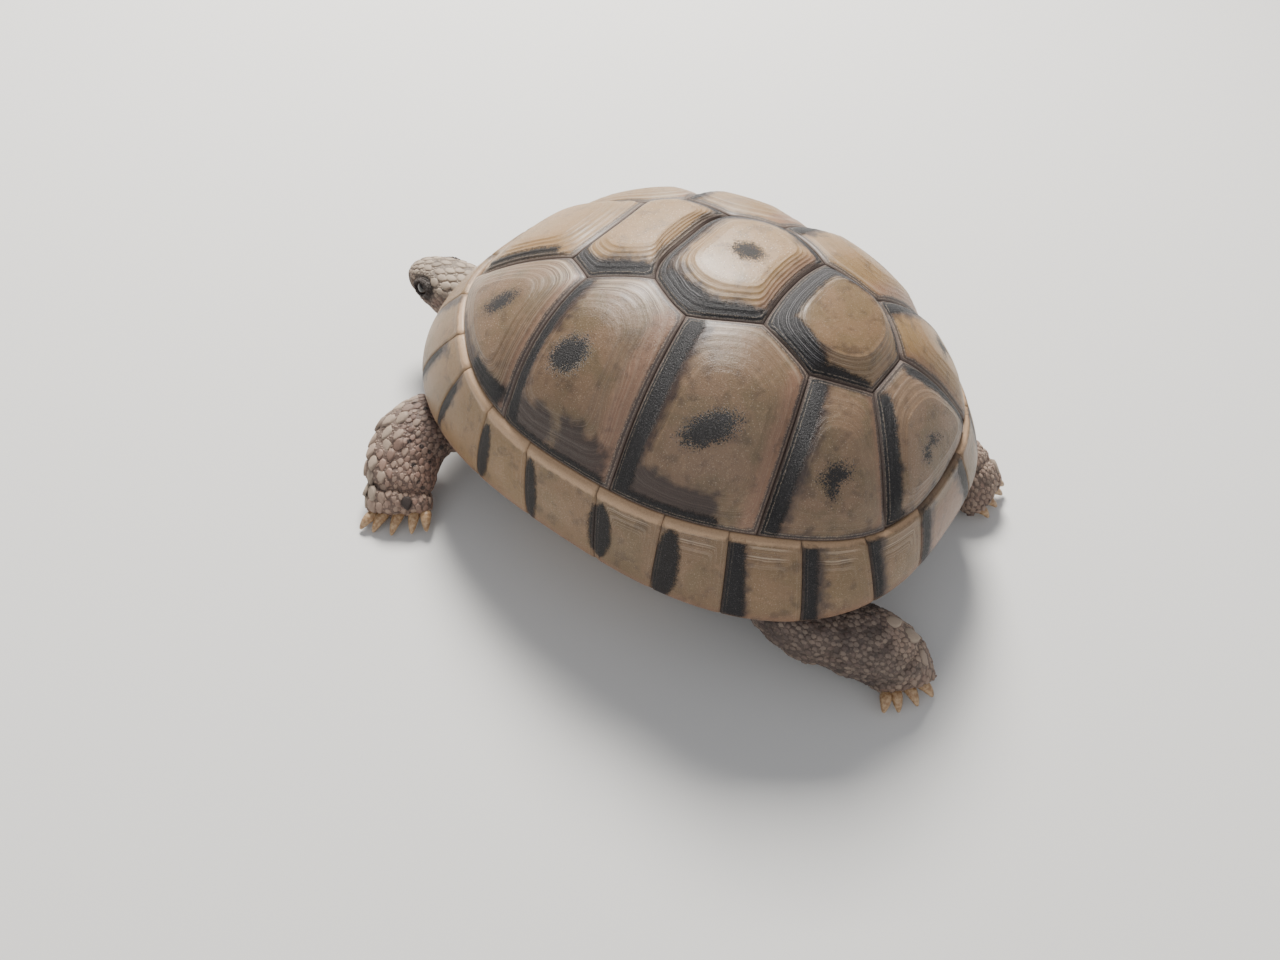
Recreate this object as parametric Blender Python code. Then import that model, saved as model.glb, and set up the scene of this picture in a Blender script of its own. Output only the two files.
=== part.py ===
"""Young spur-thighed tortoise, life size, standing in mid stride (Blender script).

Lengths below are millimetres; the meshes are built in metres. The head looks
along -Y, +X is the animal's left, Z is up and the floor is z = 0.
The carapace is one dome function; every scute is a plate cut out of it.
A place on the dome is (bearing, reach): bearing 0 is the front, 90 the left
side, 180 the rear; reach 0 is the crown and 1 the rim.
"""

from math import atan2, copysign, cos, hypot, pi, radians, sin

import bmesh
import bpy
from mathutils import Vector

# ---- carapace ----
FRONT_HALF = 52.5  # shell length ahead of the origin, then behind it
REAR_HALF = 53.3
SHELL_WIDTH = 80.8
LIFT = 6.0  # floor to the underside of the plastron
CROWN_Z = LIFT + 49.2
CROWN_Y = 8.2  # the crown stands behind the middle
BRIDGE_RIM_Z = LIFT + 9.8
FRONT_ARCH_BROAD = 1.0
FRONT_ARCH_NARROW = 5.0  # rise of the rim over the neck
REAR_ARCH = 3.0
SIDE_SQUARE = 0.72  # below 1 the plan outline is squarer than an ellipse
END_SQUARE = 0.78
EGG = 0.045  # the rear half is a little wider
FLANK = (2.28, 1.86)  # exponents of the dome's cross-section, then front, rear
FRONT = (2.06, 1.35)
REAR = (2.25, 1.35)
REAR_QUARTER = -0.34

# ---- plates ----
GAP = 0.30
PLATE = 2.0
COSTAL_RELIEF = 0.9
VERTEBRAL_RELIEF = 1.1
MARGINAL_RELIEF = 0.45
LIP = 2.2

# ---- plastron ----
PLASTRON_THICK = 2.2
PLASTRON_FRONT_Y = -47.0
PLASTRON_REAR_Y = 42.5
BRIDGE_FRONT_Y = -21.0
BRIDGE_REAR_Y = 22.0

# ---- head ----
HEAD_LENGTH = 18.6
HEAD_HALF_WIDTH = 6.9
EYE_RADIUS = 2.25

# Middle of the whole animal's plan box, measured from the shell's own middle.
BOX_MIDDLE = (6.03, -1.63, 0.0)

# ---- claws ----
FORE_CLAW = 5.2
HIND_CLAW = 4.4

SCUTE_BROWN = (0.42, 0.29, 0.15, 1.0)
HORN_YELLOW = (0.55, 0.38, 0.18, 1.0)
SKIN_BROWN = (0.30, 0.22, 0.16, 1.0)
EYE_BLACK = (0.02, 0.015, 0.012, 1.0)

# Corners where three scutes meet on the left half, as (bearing, reach).
V1_V2 = (26.0, 0.333)
V2_C1_C2 = (47.5, 0.301)
V2_V3 = (64.0, 0.182)
V3_C2_C3 = (90.5, 0.222)
V3_V4 = (128.5, 0.162)
V4_C3_C4 = (150.0, 0.283)
V4_V5 = (174.0, 0.390)

# Bearings where a seam reaches the top of the marginal ring.
NUCHAL_TOP = 4.0
V1_C1_TOP = 15.0
C1_C2_TOP = 75.0
C2_C3_TOP = 94.5
C3_C4_TOP = 125.5
C4_V5_TOP = 162.5
# Marginal sutures, front to rear: bearing at the ring and at the rim.
SUTURES = [
    (4.0, 2.6), (25.0, 16.5), (45.0, 36.0), (58.0, 55.0), (71.0, 73.0), (82.5, 85.5),
    (93.0, 94.8), (105.0, 105.0), (119.0, 119.5), (137.5, 137.7), (156.0, 157.5), (173.5, 171.3),
]


# ------------------------------------------------------------ dome
def rim_point(bearing):
    s, c = sin(bearing), cos(bearing)
    y = (FRONT_HALF if c > 0 else REAR_HALF) * -copysign(abs(c) ** END_SQUARE, c)
    x = SHELL_WIDTH / 2 * copysign(abs(s) ** SIDE_SQUARE, s)
    x *= 1 + EGG * y / FRONT_HALF
    if c > 0:
        z = BRIDGE_RIM_Z + FRONT_ARCH_BROAD * c * c + FRONT_ARCH_NARROW * c**6
    else:
        z = BRIDGE_RIM_Z + REAR_ARCH * c * c
    return Vector((x, y, z))


def dome_point(u, v):
    """Point of the smooth dome; u runs to the left side and v to the rear."""
    reach = min(hypot(u, v), 0.9999)
    bearing = atan2(u, -v)
    s, c = sin(bearing), cos(bearing)
    end = FRONT if c > 0 else REAR
    n = FLANK[0] + (end[0] - FLANK[0]) * c * c
    m = FLANK[1] + (end[1] - FLANK[1]) * c * c
    if c < 0:
        m += REAR_QUARTER * 4 * s * s * c * c
    rim = rim_point(bearing)
    out = sin(reach * pi / 2) ** (2 / n)
    up = cos(reach * pi / 2) ** (2 / m)
    return Vector((out * rim.x, CROWN_Y + out * (rim.y - CROWN_Y), rim.z + (CROWN_Z - rim.z) * up))


def dome_normal(u, v):
    reach = hypot(u, v)
    if reach > 0.97:
        u, v = u * 0.97 / reach, v * 0.97 / reach
    e = 0.02
    along_u = dome_point(u + e, v) - dome_point(u - e, v)
    along_v = dome_point(u, v + e) - dome_point(u, v - e)
    return along_u.cross(along_v).normalized()


def on_dome(u, v, raise_by=0.0):
    return dome_point(u, v) + dome_normal(u, v) * raise_by


def disc(bearing, reach):
    a = radians(bearing)
    return reach * sin(a), -reach * cos(a)


def ring_reach(bearing):
    """Reach of the line between the marginals and the plates above them."""
    a = radians(bearing)
    return 0.676 - 0.016 * cos(a) - 0.029 * cos(2 * a) - 0.016 * cos(3 * a) + 0.033 * cos(4 * a)


def on_ring(bearing):
    return bearing, ring_reach(bearing)


# ------------------------------------------------------------ objects
def material(name, colour, roughness):
    found = bpy.data.materials.get(name)
    if found:
        return found
    made = bpy.data.materials.new(name)
    made.use_nodes = True
    surface = made.node_tree.nodes["Principled BSDF"]
    surface.inputs["Base Color"].default_value = colour
    surface.inputs["Roughness"].default_value = roughness
    return made


def add_object(name, mesh, look):
    """Close the mesh, scale it to metres and put it in the scene."""
    bmesh.ops.recalc_face_normals(mesh, faces=mesh.faces)
    for vert in mesh.verts:
        vert.co = (vert.co - Vector(BOX_MIDDLE)) * 0.001
    data = bpy.data.meshes.new(name)
    mesh.to_mesh(data)
    mesh.free()
    made = bpy.data.objects.new(name, data)
    bpy.context.scene.collection.objects.link(made)
    made.data.materials.append(look)
    return made


def subtract(target, cutter):
    step = target.modifiers.new("cut_" + cutter.name, "BOOLEAN")
    step.operation = "DIFFERENCE"
    step.solver = "EXACT"
    step.object = cutter


def as_cutter(made):
    made.hide_render = True
    made.display_type = "WIRE"
    return made


def bridge(mesh, lower, upper):
    n = len(lower)
    for i in range(n):
        mesh.faces.new((lower[i], lower[(i + 1) % n], upper[(i + 1) % n], upper[i]))


def fan(mesh, ring, point):
    centre = mesh.verts.new(point)
    for i in range(len(ring)):
        mesh.faces.new((ring[i], ring[(i + 1) % len(ring)], centre))


# ------------------------------------------------------------ plates on the dome
def edge_points(start, end, step=0.085):
    """Disc points from one corner towards the next; two ring corners follow the ring."""
    follows_ring = all(abs(reach - ring_reach(bearing)) < 1e-6 for bearing, reach in (start, end))
    a, b = disc(*start), disc(*end)
    count = max(1, round(hypot(b[0] - a[0], b[1] - a[1]) / step))
    points = []
    for i in range(count):
        f = i / count
        if follows_ring:
            points.append(disc(*on_ring(start[0] + (end[0] - start[0]) * f)))
        else:
            points.append((a[0] + (b[0] - a[0]) * f, a[1] + (b[1] - a[1]) * f))
    return points


def plate(name, corners, relief, look, mirrored=False):
    """Scute over a closed run of corners: raised in the middle, PLATE thick."""
    outline = []
    for i, corner in enumerate(corners):
        outline += edge_points(corner, corners[(i + 1) % len(corners)])
    n = len(outline)
    mid_u = sum(p[0] for p in outline) / n
    mid_v = sum(p[1] for p in outline) / n
    centre = dome_point(mid_u, mid_v)
    edge = []
    for i, (u, v) in enumerate(outline):
        here, up = dome_point(u, v), dome_normal(u, v)
        sides = []
        for a, b in ((outline[i - 1], (u, v)), ((u, v), outline[(i + 1) % n])):
            inward = up.cross(dome_point(*b) - dome_point(*a)).normalized()
            sides.append(inward if inward.dot(centre - here) > 0 else -inward)
        shift = (sides[0] + sides[1]) / (1 + sides[0].dot(sides[1]))
        edge.append((here + shift * GAP / 2, up))
    mesh = bmesh.new()

    def inner_ring(scale, height):
        ring = []
        for u, v in outline:
            place = on_dome(mid_u + (u - mid_u) * scale, mid_v + (v - mid_v) * scale, height)
            ring.append(mesh.verts.new(place))
        return ring

    top = [mesh.verts.new(p) for p, up in edge]
    under = [mesh.verts.new(p - up * PLATE) for p, up in edge]
    shoulder, table = inner_ring(0.84, relief * 0.6), inner_ring(0.48, relief)
    lining = inner_ring(0.6, -PLATE)
    bridge(mesh, under, top)
    bridge(mesh, top, shoulder)
    bridge(mesh, shoulder, table)
    fan(mesh, table, on_dome(mid_u, mid_v, relief))
    bridge(mesh, lining, under)
    fan(mesh, lining[::-1], on_dome(mid_u, mid_v, -PLATE))
    if mirrored:
        for vert in mesh.verts:
            vert.co.x = -vert.co.x
    return add_object(name, mesh, look)


def both_sides(left_corners):
    """Corner list of a midline scute from its left half, front to rear."""
    return left_corners + [(-bearing, reach) for bearing, reach in reversed(left_corners)]


def marginal(name, front, rear, look, mirrored=False):
    """Rim plate between two sutures, each (bearing at the ring, bearing at the rim)."""
    outer = [(0.0, 0.0), (0.3, MARGINAL_RELIEF), (0.7, MARGINAL_RELIEF), (1.0, 0.0)]
    inner = [(0.82, -PLATE), (0.4, -PLATE), (0.0, -PLATE)]
    columns = max(2, round(abs(rear[1] - front[1]) / 6))

    def place(f, down, height):
        at_ring = front[0] + (rear[0] - front[0]) * f
        at_rim = front[1] + (rear[1] - front[1]) * f
        bearing = at_ring + (at_rim - at_ring) * down
        top = ring_reach(bearing)
        return on_dome(*disc(bearing, top + (1 - top) * down), height)

    mesh = bmesh.new()
    rings = []
    for i in range(columns + 1):
        f = i / columns
        points = [place(f, down, height) for down, height in outer]
        inward = Vector((points[-1].x, points[-1].y - CROWN_Y, 0)).normalized() * -LIP
        points.append(points[-1] + inward)
        points += [place(f, down, height) for down, height in inner]
        if i in (0, columns):
            step = 0.04 if i == 0 else -0.04
            along = [place(f + step, d, h) for d, h in outer + [(1.0, 0.0)] + inner]
            here = [place(f, d, h) for d, h in outer + [(1.0, 0.0)] + inner]
            points = [p + (a - b).normalized() * GAP / 2 for p, a, b in zip(points, along, here)]
        down_the_side = (points[1] - points[0]).normalized() * GAP / 2
        points[0] += down_the_side
        points[-1] += down_the_side
        rings.append([mesh.verts.new(p) for p in points])
    for a, b in zip(rings, rings[1:]):
        bridge(mesh, a, b)
    for ring in (rings[0], rings[-1]):
        outer_run, inner_run = ring[:4], ring[:3:-1]
        for k in range(3):
            mesh.faces.new((outer_run[k], outer_run[k + 1], inner_run[k]))
            mesh.faces.new((outer_run[k + 1], inner_run[k + 1], inner_run[k]))
    if mirrored:
        for vert in mesh.verts:
            vert.co.x = -vert.co.x
    return add_object(name, mesh, look)


def carapace(brown, yellow):
    nuchal = on_ring(NUCHAL_TOP)
    v1_c1 = on_ring(V1_C1_TOP)
    c1_c2, c2_c3 = on_ring(C1_C2_TOP), on_ring(C2_C3_TOP)
    c3_c4, c4_v5 = on_ring(C3_C4_TOP), on_ring(C4_V5_TOP)
    tail_top = on_ring(SUTURES[-1][0])
    front_mid, rear_mid = on_ring(0.0), on_ring(180.0)
    vertebrals = [
        both_sides([front_mid, nuchal, v1_c1, V1_V2])[1:],
        both_sides([V1_V2, V2_C1_C2, V2_V3]),
        both_sides([V2_V3, V3_C2_C3, V3_V4]),
        both_sides([V3_V4, V4_C3_C4, V4_V5]),
    ]
    for i, corners in enumerate(vertebrals):
        plate("vertebral_%d" % (i + 1), corners, VERTEBRAL_RELIEF, brown)
    last = [V4_V5, c4_v5, tail_top, rear_mid]
    last += [(360 - tail_top[0], tail_top[1]), (360 - c4_v5[0], c4_v5[1]), (-V4_V5[0], V4_V5[1])]
    plate("vertebral_5", last, VERTEBRAL_RELIEF, brown)
    costals = [
        [V1_V2, v1_c1, c1_c2, V2_C1_C2],
        [V2_C1_C2, c1_c2, c2_c3, V3_C2_C3, V2_V3],
        [V3_C2_C3, c2_c3, c3_c4, V4_C3_C4, V3_V4],
        [V4_C3_C4, c3_c4, c4_v5, V4_V5],
    ]
    for side, mirrored in (("left", False), ("right", True)):
        for i, corners in enumerate(costals):
            plate("costal_%s_%d" % (side, i + 1), corners, COSTAL_RELIEF, brown, mirrored)
        for i, (front, rear) in enumerate(zip(SUTURES, SUTURES[1:])):
            marginal("marginal_%s_%d" % (side, i + 1), front, rear, yellow, mirrored)
    ring, rim = SUTURES[0]
    marginal("nuchal", (-ring, -rim), (ring, rim), yellow)
    ring, rim = SUTURES[-1]
    marginal("supracaudal", (ring, rim), (360 - ring, 360 - rim), yellow)


# ------------------------------------------------------------ trunk
def smooth(value, low, high):
    f = min(max((value - low) / (high - low), 0.0), 1.0)
    return f * f * (3 - 2 * f)


def bridge_weight(bearing):
    """1 along the bridges, 0 in the leg openings."""
    a = abs((bearing + 180) % 360 - 180)
    return smooth(a, 68, 80) * (1 - smooth(a, 102, 114))


def trunk_mesh(grow):
    """Body under the plates: the dome less its plates, drawn in above the plastron."""
    segments = 40
    mesh = bmesh.new()
    rings = []
    for reach in (0.14, 0.3, 0.45, 0.58, 0.7, 0.8, 0.87):
        ring = []
        for i in range(segments):
            ring.append(mesh.verts.new(on_dome(*disc(360 * i / segments, reach), grow - PLATE - 0.5)))
        rings.append(ring)
    floor_z = LIFT + PLASTRON_THICK + 0.5 - grow
    for open_scale, bridge_scale, open_z, bridge_z in (
        (0.76, 0.85, LIFT + 16.5, LIFT + 12.6),
        (0.66, 0.72, LIFT + 11.5, LIFT + 9.6),
        (0.60, 0.58, LIFT + 5.5, LIFT + 5.6),
        (0.57, 0.49, floor_z, floor_z),
    ):
        ring = []
        for i in range(segments):
            bearing = 360 * i / segments
            w = bridge_weight(bearing)
            rim = rim_point(radians(bearing))
            out = Vector((rim.x, rim.y * 0.97, 0))
            flat = out * (open_scale + (bridge_scale - open_scale) * w) + out.normalized() * grow
            ring.append(mesh.verts.new((flat.x, flat.y, open_z + (bridge_z - open_z) * w)))
        rings.append(ring)
    fan(mesh, rings[0][::-1], on_dome(0, 0, grow - PLATE - 0.5))
    for a, b in zip(rings, rings[1:]):
        bridge(mesh, a, b)
    fan(mesh, rings[-1], (0, 0, floor_z))
    return mesh


# ------------------------------------------------------------ plastron
def plastron_half_width(y):
    """Half width of the flat of the plastron."""
    if y < BRIDGE_FRONT_Y:
        f = (y - PLASTRON_FRONT_Y) / (BRIDGE_FRONT_Y - PLASTRON_FRONT_Y)
        return 9.0 + 15.5 * f**0.75
    if y > BRIDGE_REAR_Y:
        f = (PLASTRON_REAR_Y - y) / (PLASTRON_REAR_Y - BRIDGE_REAR_Y)
        return 9.0 + 14.0 * f**0.75
    return 26.0


def rim_half_width(y):
    half = FRONT_HALF if y < 0 else REAR_HALF
    c = min(abs(y) / half, 1.0) ** (1 / END_SQUARE)
    return SHELL_WIDTH / 2 * (1 - c * c) ** (SIDE_SQUARE / 2) * (1 + EGG * y / FRONT_HALF)


def plastron_plate(name, front_y, rear_y, look, notch=0.0):
    """Pair of plastron scutes joined at a shallow midline groove."""
    across = [-1.0, -0.91, -0.82, -0.6, -0.4, -0.2, -0.03, 0.0, 0.03, 0.2, 0.4, 0.6, 0.82, 0.91, 1.0]
    rows = max(2, round((rear_y - front_y) / 7))
    mesh = bmesh.new()
    lower, upper = [], []
    for j in range(rows + 1):
        f = j / rows
        y = front_y + GAP / 2 + (rear_y - front_y - GAP) * f
        flat = plastron_half_width(y)
        rise = smooth(y, BRIDGE_FRONT_Y - 1, BRIDGE_FRONT_Y + 4)
        rise *= 1 - smooth(y, BRIDGE_REAR_Y - 4, BRIDGE_REAR_Y + 1)
        low_row, high_row = [], []
        for k in across:
            side = abs(k)
            x = k * flat
            z = LIFT
            if side > 0.8:
                g = (side - 0.8) / 0.2
                outer = flat + rise * (rim_half_width(y) - LIP - 0.5 - flat)
                x = copysign(flat * 0.8 + g * (outer - flat * 0.8), k)
                z += rise * 8.2 * g**1.4
            if k == 0.0:
                z += 0.35
            pull = notch * max(0.0, 1 - side / 0.45) * f
            low_row.append(mesh.verts.new((x, y - pull, z)))
            if side > 0.8 and rise > 0.2:
                x -= copysign(1.1, k)
            top_z = z + PLASTRON_THICK - (0.35 if k == 0 else 0.0)
            high_row.append(mesh.verts.new((x, y - pull, top_z)))
        lower.append(low_row)
        upper.append(high_row)
    for rows_pair in (lower, upper):
        for a, b in zip(rows_pair, rows_pair[1:]):
            for i in range(len(across) - 1):
                mesh.faces.new((a[i], a[i + 1], b[i + 1], b[i]))
    for j in (0, rows):
        for i in range(len(across) - 1):
            mesh.faces.new((lower[j][i], lower[j][i + 1], upper[j][i + 1], upper[j][i]))
    for i in (0, -1):
        for j in range(rows):
            mesh.faces.new((lower[j][i], lower[j + 1][i], upper[j + 1][i], upper[j][i]))
    return add_object(name, mesh, look)


def plastron(look):
    seams = [PLASTRON_FRONT_Y, -38.5, -25.0, -16.5, 15.5, 28.0, PLASTRON_REAR_Y]
    names = ["gular", "humeral", "pectoral", "abdominal", "femoral", "anal"]
    for name, front_y, rear_y in zip(names, seams, seams[1:]):
        plastron_plate("plastron_" + name, front_y, rear_y, look, 4.0 if name == "anal" else 0.0)


# ------------------------------------------------------------ soft parts
def loft(sections, side, segments):
    """Tube through sections (x, y, z, half width, half thickness); side points along the width."""
    mesh = bmesh.new()
    rings = []
    for i, (x, y, z, wide, thick) in enumerate(sections):
        before, after = sections[max(i - 1, 0)], sections[min(i + 1, len(sections) - 1)]
        along = (Vector(after[:3]) - Vector(before[:3])).normalized()
        across = Vector(side) - along * Vector(side).dot(along)
        across.normalize()
        up = along.cross(across)
        ring = []
        for k in range(segments):
            a = 2 * pi * (k + 0.5) / segments
            ring.append(mesh.verts.new(Vector((x, y, z)) + across * wide * cos(a) + up * thick * sin(a)))
        rings.append(ring)
    for a, b in zip(rings, rings[1:]):
        bridge(mesh, a, b)
    fan(mesh, rings[0][::-1], sections[0][:3])
    return mesh, rings


def add_claws(mesh, ring, used, direction, spread, length):
    """Close the ring with strips and draw a claw out of each used strip."""
    far = ring[::-1]
    strips = []
    for i in range(len(ring) // 2 - 1):
        strips.append(mesh.faces.new((ring[i], ring[i + 1], far[i + 1], far[i])))
    chosen = [strips[i] for i in used]
    bmesh.ops.inset_individual(mesh, faces=chosen, thickness=0.28)
    for i, face in enumerate(chosen):
        turn = 1 - 2 * i / (len(chosen) - 1)  # the first strip is on the side that side points to
        way = (Vector(direction) + Vector(spread) * turn).normalized()
        reach = length * (1 - 0.22 * abs(turn))
        for step, scale in ((0.5, 0.8), (0.5, 0.3)):
            made = bmesh.ops.extrude_discrete_faces(mesh, faces=[face])["faces"]
            face = made[0]
            middle = face.calc_center_median()
            for vert in face.verts:
                vert.co = middle + (vert.co - middle) * scale + way * reach * step


def flatten_sole(mesh):
    """Cut the foot off at the floor so that it stands on a flat."""
    everything = mesh.verts[:] + mesh.edges[:] + mesh.faces[:]
    cut = bmesh.ops.bisect_plane(
        mesh, geom=everything, plane_co=(0, 0, 0), plane_no=(0, 0, -1), clear_outer=True, dist=1e-5
    )
    rim = [item for item in cut["geom_cut"] if isinstance(item, bmesh.types.BMEdge)]
    if rim:
        bmesh.ops.holes_fill(mesh, edges=rim)


def limb(name, sections, side, segments, used, direction, spread, length, look):
    mesh, rings = loft(sections, side, segments)
    add_claws(mesh, rings[-1], used, direction, spread, length)
    flatten_sole(mesh)
    return add_object(name, mesh, look)


def limbs(look):
    """The four legs; each section is x, y, z, half width, half thickness."""
    made = []
    made.append(limb(
        "foreleg_left",
        [(14, -25, 15, 6.2, 4.7), (20, -30, 14.6, 6.8, 4.7), (26, -35.5, 12.4, 7.2, 4.6),
         (32, -39.5, 10.8, 7.6, 4.8), (38, -39.5, 8.4, 7.6, 5.0), (43, -36.5, 4.8, 7.2, 4.4),
         (46.5, -33.8, 2.3, 6.4, 3.0)],
        (0.45, -0.9, 0), 12, range(5), (0.80, 0.25, -0.30), (0.12, -0.38, 0.0), FORE_CLAW, look))
    made.append(limb(
        "foreleg_right",
        [(-14, -22, 15, 6.0, 4.6), (-19, -27, 14.6, 6.4, 4.6), (-24.5, -33, 13.2, 6.8, 4.6),
         (-29, -40, 11.0, 7.1, 4.6), (-32, -47, 7.4, 7.2, 4.7), (-33.5, -52, 4.2, 6.8, 4.2),
         (-34.2, -56, 2.0, 6.0, 2.9)],
        (-1, 0, 0), 12, range(5), (-0.12, -0.85, -0.26), (-0.38, 0.1, 0.0), FORE_CLAW, look))
    made.append(limb(
        "hindleg_left",
        [(14, 19, 16, 6.6, 5.0), (20, 26, 15.2, 7.0, 5.1), (25, 33.5, 13.8, 7.2, 5.4),
         (26.5, 41.5, 12.0, 7.2, 5.8), (23.5, 49.5, 10.6, 7.0, 6.3), (20.3, 55, 7.2, 6.8, 6.0),
         (19.6, 58.4, 4.0, 6.4, 5.0), (21, 60.8, 2.2, 5.8, 3.0)],
        (0.8, -0.5, 0), 12, range(4), (0.40, 0.55, -0.2), (0.3, -0.24, 0.0), HIND_CLAW, look))
    made.append(limb(
        "hindleg_right",
        [(-14, 19, 16, 6.6, 5.0), (-20.5, 26, 15.0, 6.9, 5.1), (-26, 33, 13.0, 7.1, 5.4),
         (-28.5, 40, 10.8, 7.1, 5.6), (-28.5, 46, 8.2, 6.9, 5.6), (-28, 51, 4.9, 6.6, 5.2),
         (-28.3, 54, 2.2, 6.0, 3.4)],
        (-1, 0.1, 0), 12, range(4), (-0.42, 0.8, -0.25), (-0.34, -0.1, 0.0), HIND_CLAW, look))
    return made


def head(look):
    """Head along its own axis: fraction, half width, top and underside above the axis."""
    back, nose = Vector((1.3, -50.2, 16.6)), Vector((3.2, -68.6, 17.6))
    profile = [
        (0.0, 5.2, 4.4, -4.6), (0.10, 6.3, 5.0, -5.3), (0.26, HEAD_HALF_WIDTH, 5.5, -5.9),
        (0.42, 7.0, 5.7, -5.8), (0.56, 6.6, 5.6, -5.3), (0.70, 5.7, 5.1, -4.7),
        (0.82, 4.8, 4.2, -4.2), (0.92, 4.0, 3.1, -3.7), (1.0, 2.8, 1.7, -2.9),
    ]
    along = (nose - back).normalized()
    across = along.cross(Vector((0, 0, 1))).normalized()
    up = across.cross(along)
    segments = 16
    mesh = bmesh.new()
    rings = []
    for f, wide, top, under in profile:
        centre = back + along * (HEAD_LENGTH * f) + up * (top + under) / 2
        tall = (top - under) / 2
        ring = []
        for k in range(segments):
            a = 2 * pi * k / segments
            sideways = wide * copysign(abs(cos(a)) ** 0.85, cos(a))
            upwards = tall * copysign(abs(sin(a)) ** 0.85, sin(a))
            ring.append(mesh.verts.new(centre + across * sideways + up * upwards))
        rings.append(ring)
    for a, b in zip(rings, rings[1:]):
        bridge(mesh, a, b)
    fan(mesh, rings[0][::-1], back + up * 0.05)
    fan(mesh, rings[-1], back + along * (HEAD_LENGTH + 0.5) - up * 0.3)
    made = add_object("head", mesh, look)
    black = material("eye_black", EYE_BLACK, 0.12)
    for side, sign in (("left", -1), ("right", 1)):
        place = back + along * (HEAD_LENGTH * 0.66) + across * sign * 3.9 + up * 1.5
        for name, radius in (("eye_" + side, EYE_RADIUS), ("socket_" + side, EYE_RADIUS + GAP)):
            ball = bmesh.new()
            bmesh.ops.create_icosphere(ball, subdivisions=2, radius=radius)
            for vert in ball.verts:
                vert.co += place
            sphere = add_object(name, ball, black)
            if name.startswith("socket"):
                subtract(made, as_cutter(sphere))
    return made


def neck_and_tail(look):
    mesh, rings = loft(
        [(0, -26, 15.2, 5.6, 4.8), (0.2, -34, 15.8, 5.5, 4.8), (0.6, -43, 16.15, 5.4, 4.8),
         (1.3, -49.7, 16.5, 5.1, 4.4)],
        (1, 0, 0), 14)
    fan(mesh, rings[-1], (1.3, -49.7, 16.5))
    neck = add_object("neck", mesh, look)
    mesh, rings = loft(
        [(0, 24, 14.5, 4.8, 4.2), (-0.5, 32, 14.2, 4.4, 4.0), (-1.2, 39.5, 13.0, 3.7, 3.4),
         (-2.2, 45.5, 11.4, 2.6, 2.4), (-3.2, 50.0, 9.8, 1.0, 0.9)],
        (1, 0, 0), 12)
    fan(mesh, rings[-1], (-3.3, 50.3, 9.6))
    return [neck, add_object("tail", mesh, look)]


def main():
    for old in list(bpy.data.objects):
        bpy.data.objects.remove(old, do_unlink=True)
    brown = material("scute_brown", SCUTE_BROWN, 0.4)
    yellow = material("horn_yellow", HORN_YELLOW, 0.42)
    skin = material("skin", SKIN_BROWN, 0.7)
    carapace(brown, yellow)
    plastron(yellow)
    add_object("trunk", trunk_mesh(0.0), skin)
    around_trunk = as_cutter(add_object("around_trunk", trunk_mesh(GAP), skin))
    for part in limbs(skin) + neck_and_tail(skin):
        subtract(part, around_trunk)
    head(skin)


main()
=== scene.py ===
from math import cos, hypot, pi, radians, sin

import bmesh
import bpy
import numpy as np
from mathutils import Matrix, Vector, noise


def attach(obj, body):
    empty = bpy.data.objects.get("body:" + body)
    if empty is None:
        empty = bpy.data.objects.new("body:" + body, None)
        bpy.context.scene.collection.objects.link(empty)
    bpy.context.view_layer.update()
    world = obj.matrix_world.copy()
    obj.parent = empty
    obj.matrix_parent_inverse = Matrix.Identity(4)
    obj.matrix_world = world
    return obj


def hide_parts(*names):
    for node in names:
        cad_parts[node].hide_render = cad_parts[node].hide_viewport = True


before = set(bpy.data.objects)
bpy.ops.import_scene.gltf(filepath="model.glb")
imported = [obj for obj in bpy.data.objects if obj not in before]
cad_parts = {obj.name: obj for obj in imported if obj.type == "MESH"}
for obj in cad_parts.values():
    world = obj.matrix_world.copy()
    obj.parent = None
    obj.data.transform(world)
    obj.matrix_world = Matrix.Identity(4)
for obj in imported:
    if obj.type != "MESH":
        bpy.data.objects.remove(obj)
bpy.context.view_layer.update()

# Lengths are millimetres from the shell's own middle until finishPiece puts them in metres.
boxMiddle = np.array((6.03, -1.63, 0.0))


# Materials are built from sockets with arithmetic.
class Wire:
    # One output socket; operators add Math nodes to its look.
    def __init__(self, look, socket):
        self.look, self.socket = look, socket

    def math(self, operation, other=None, swap=False):
        pair = (other, self) if swap else (self, other)
        values = {i: v for i, v in enumerate(pair) if v is not None}
        return self.look.node("ShaderNodeMath", {"operation": operation}, values)

    def __add__(self, other): return self.math("ADD", other)
    def __radd__(self, other): return self.math("ADD", other)
    def __sub__(self, other): return self.math("SUBTRACT", other)
    def __rsub__(self, other): return self.math("SUBTRACT", other, swap=True)
    def __mul__(self, other): return self.math("MULTIPLY", other)
    def __rmul__(self, other): return self.math("MULTIPLY", other)
    def high(self, other): return self.math("MAXIMUM", other)
    def absolute(self): return self.math("ABSOLUTE")

    def step(self, start, end, low=0.0, high=1.0):
        # Smooth step from low to high between start and end.
        return self.look.node(
            "ShaderNodeMapRange", {"interpolation_type": "SMOOTHSTEP"},
            {"Value": self, "From Min": start, "From Max": end, "To Min": low, "To Max": high})


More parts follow.
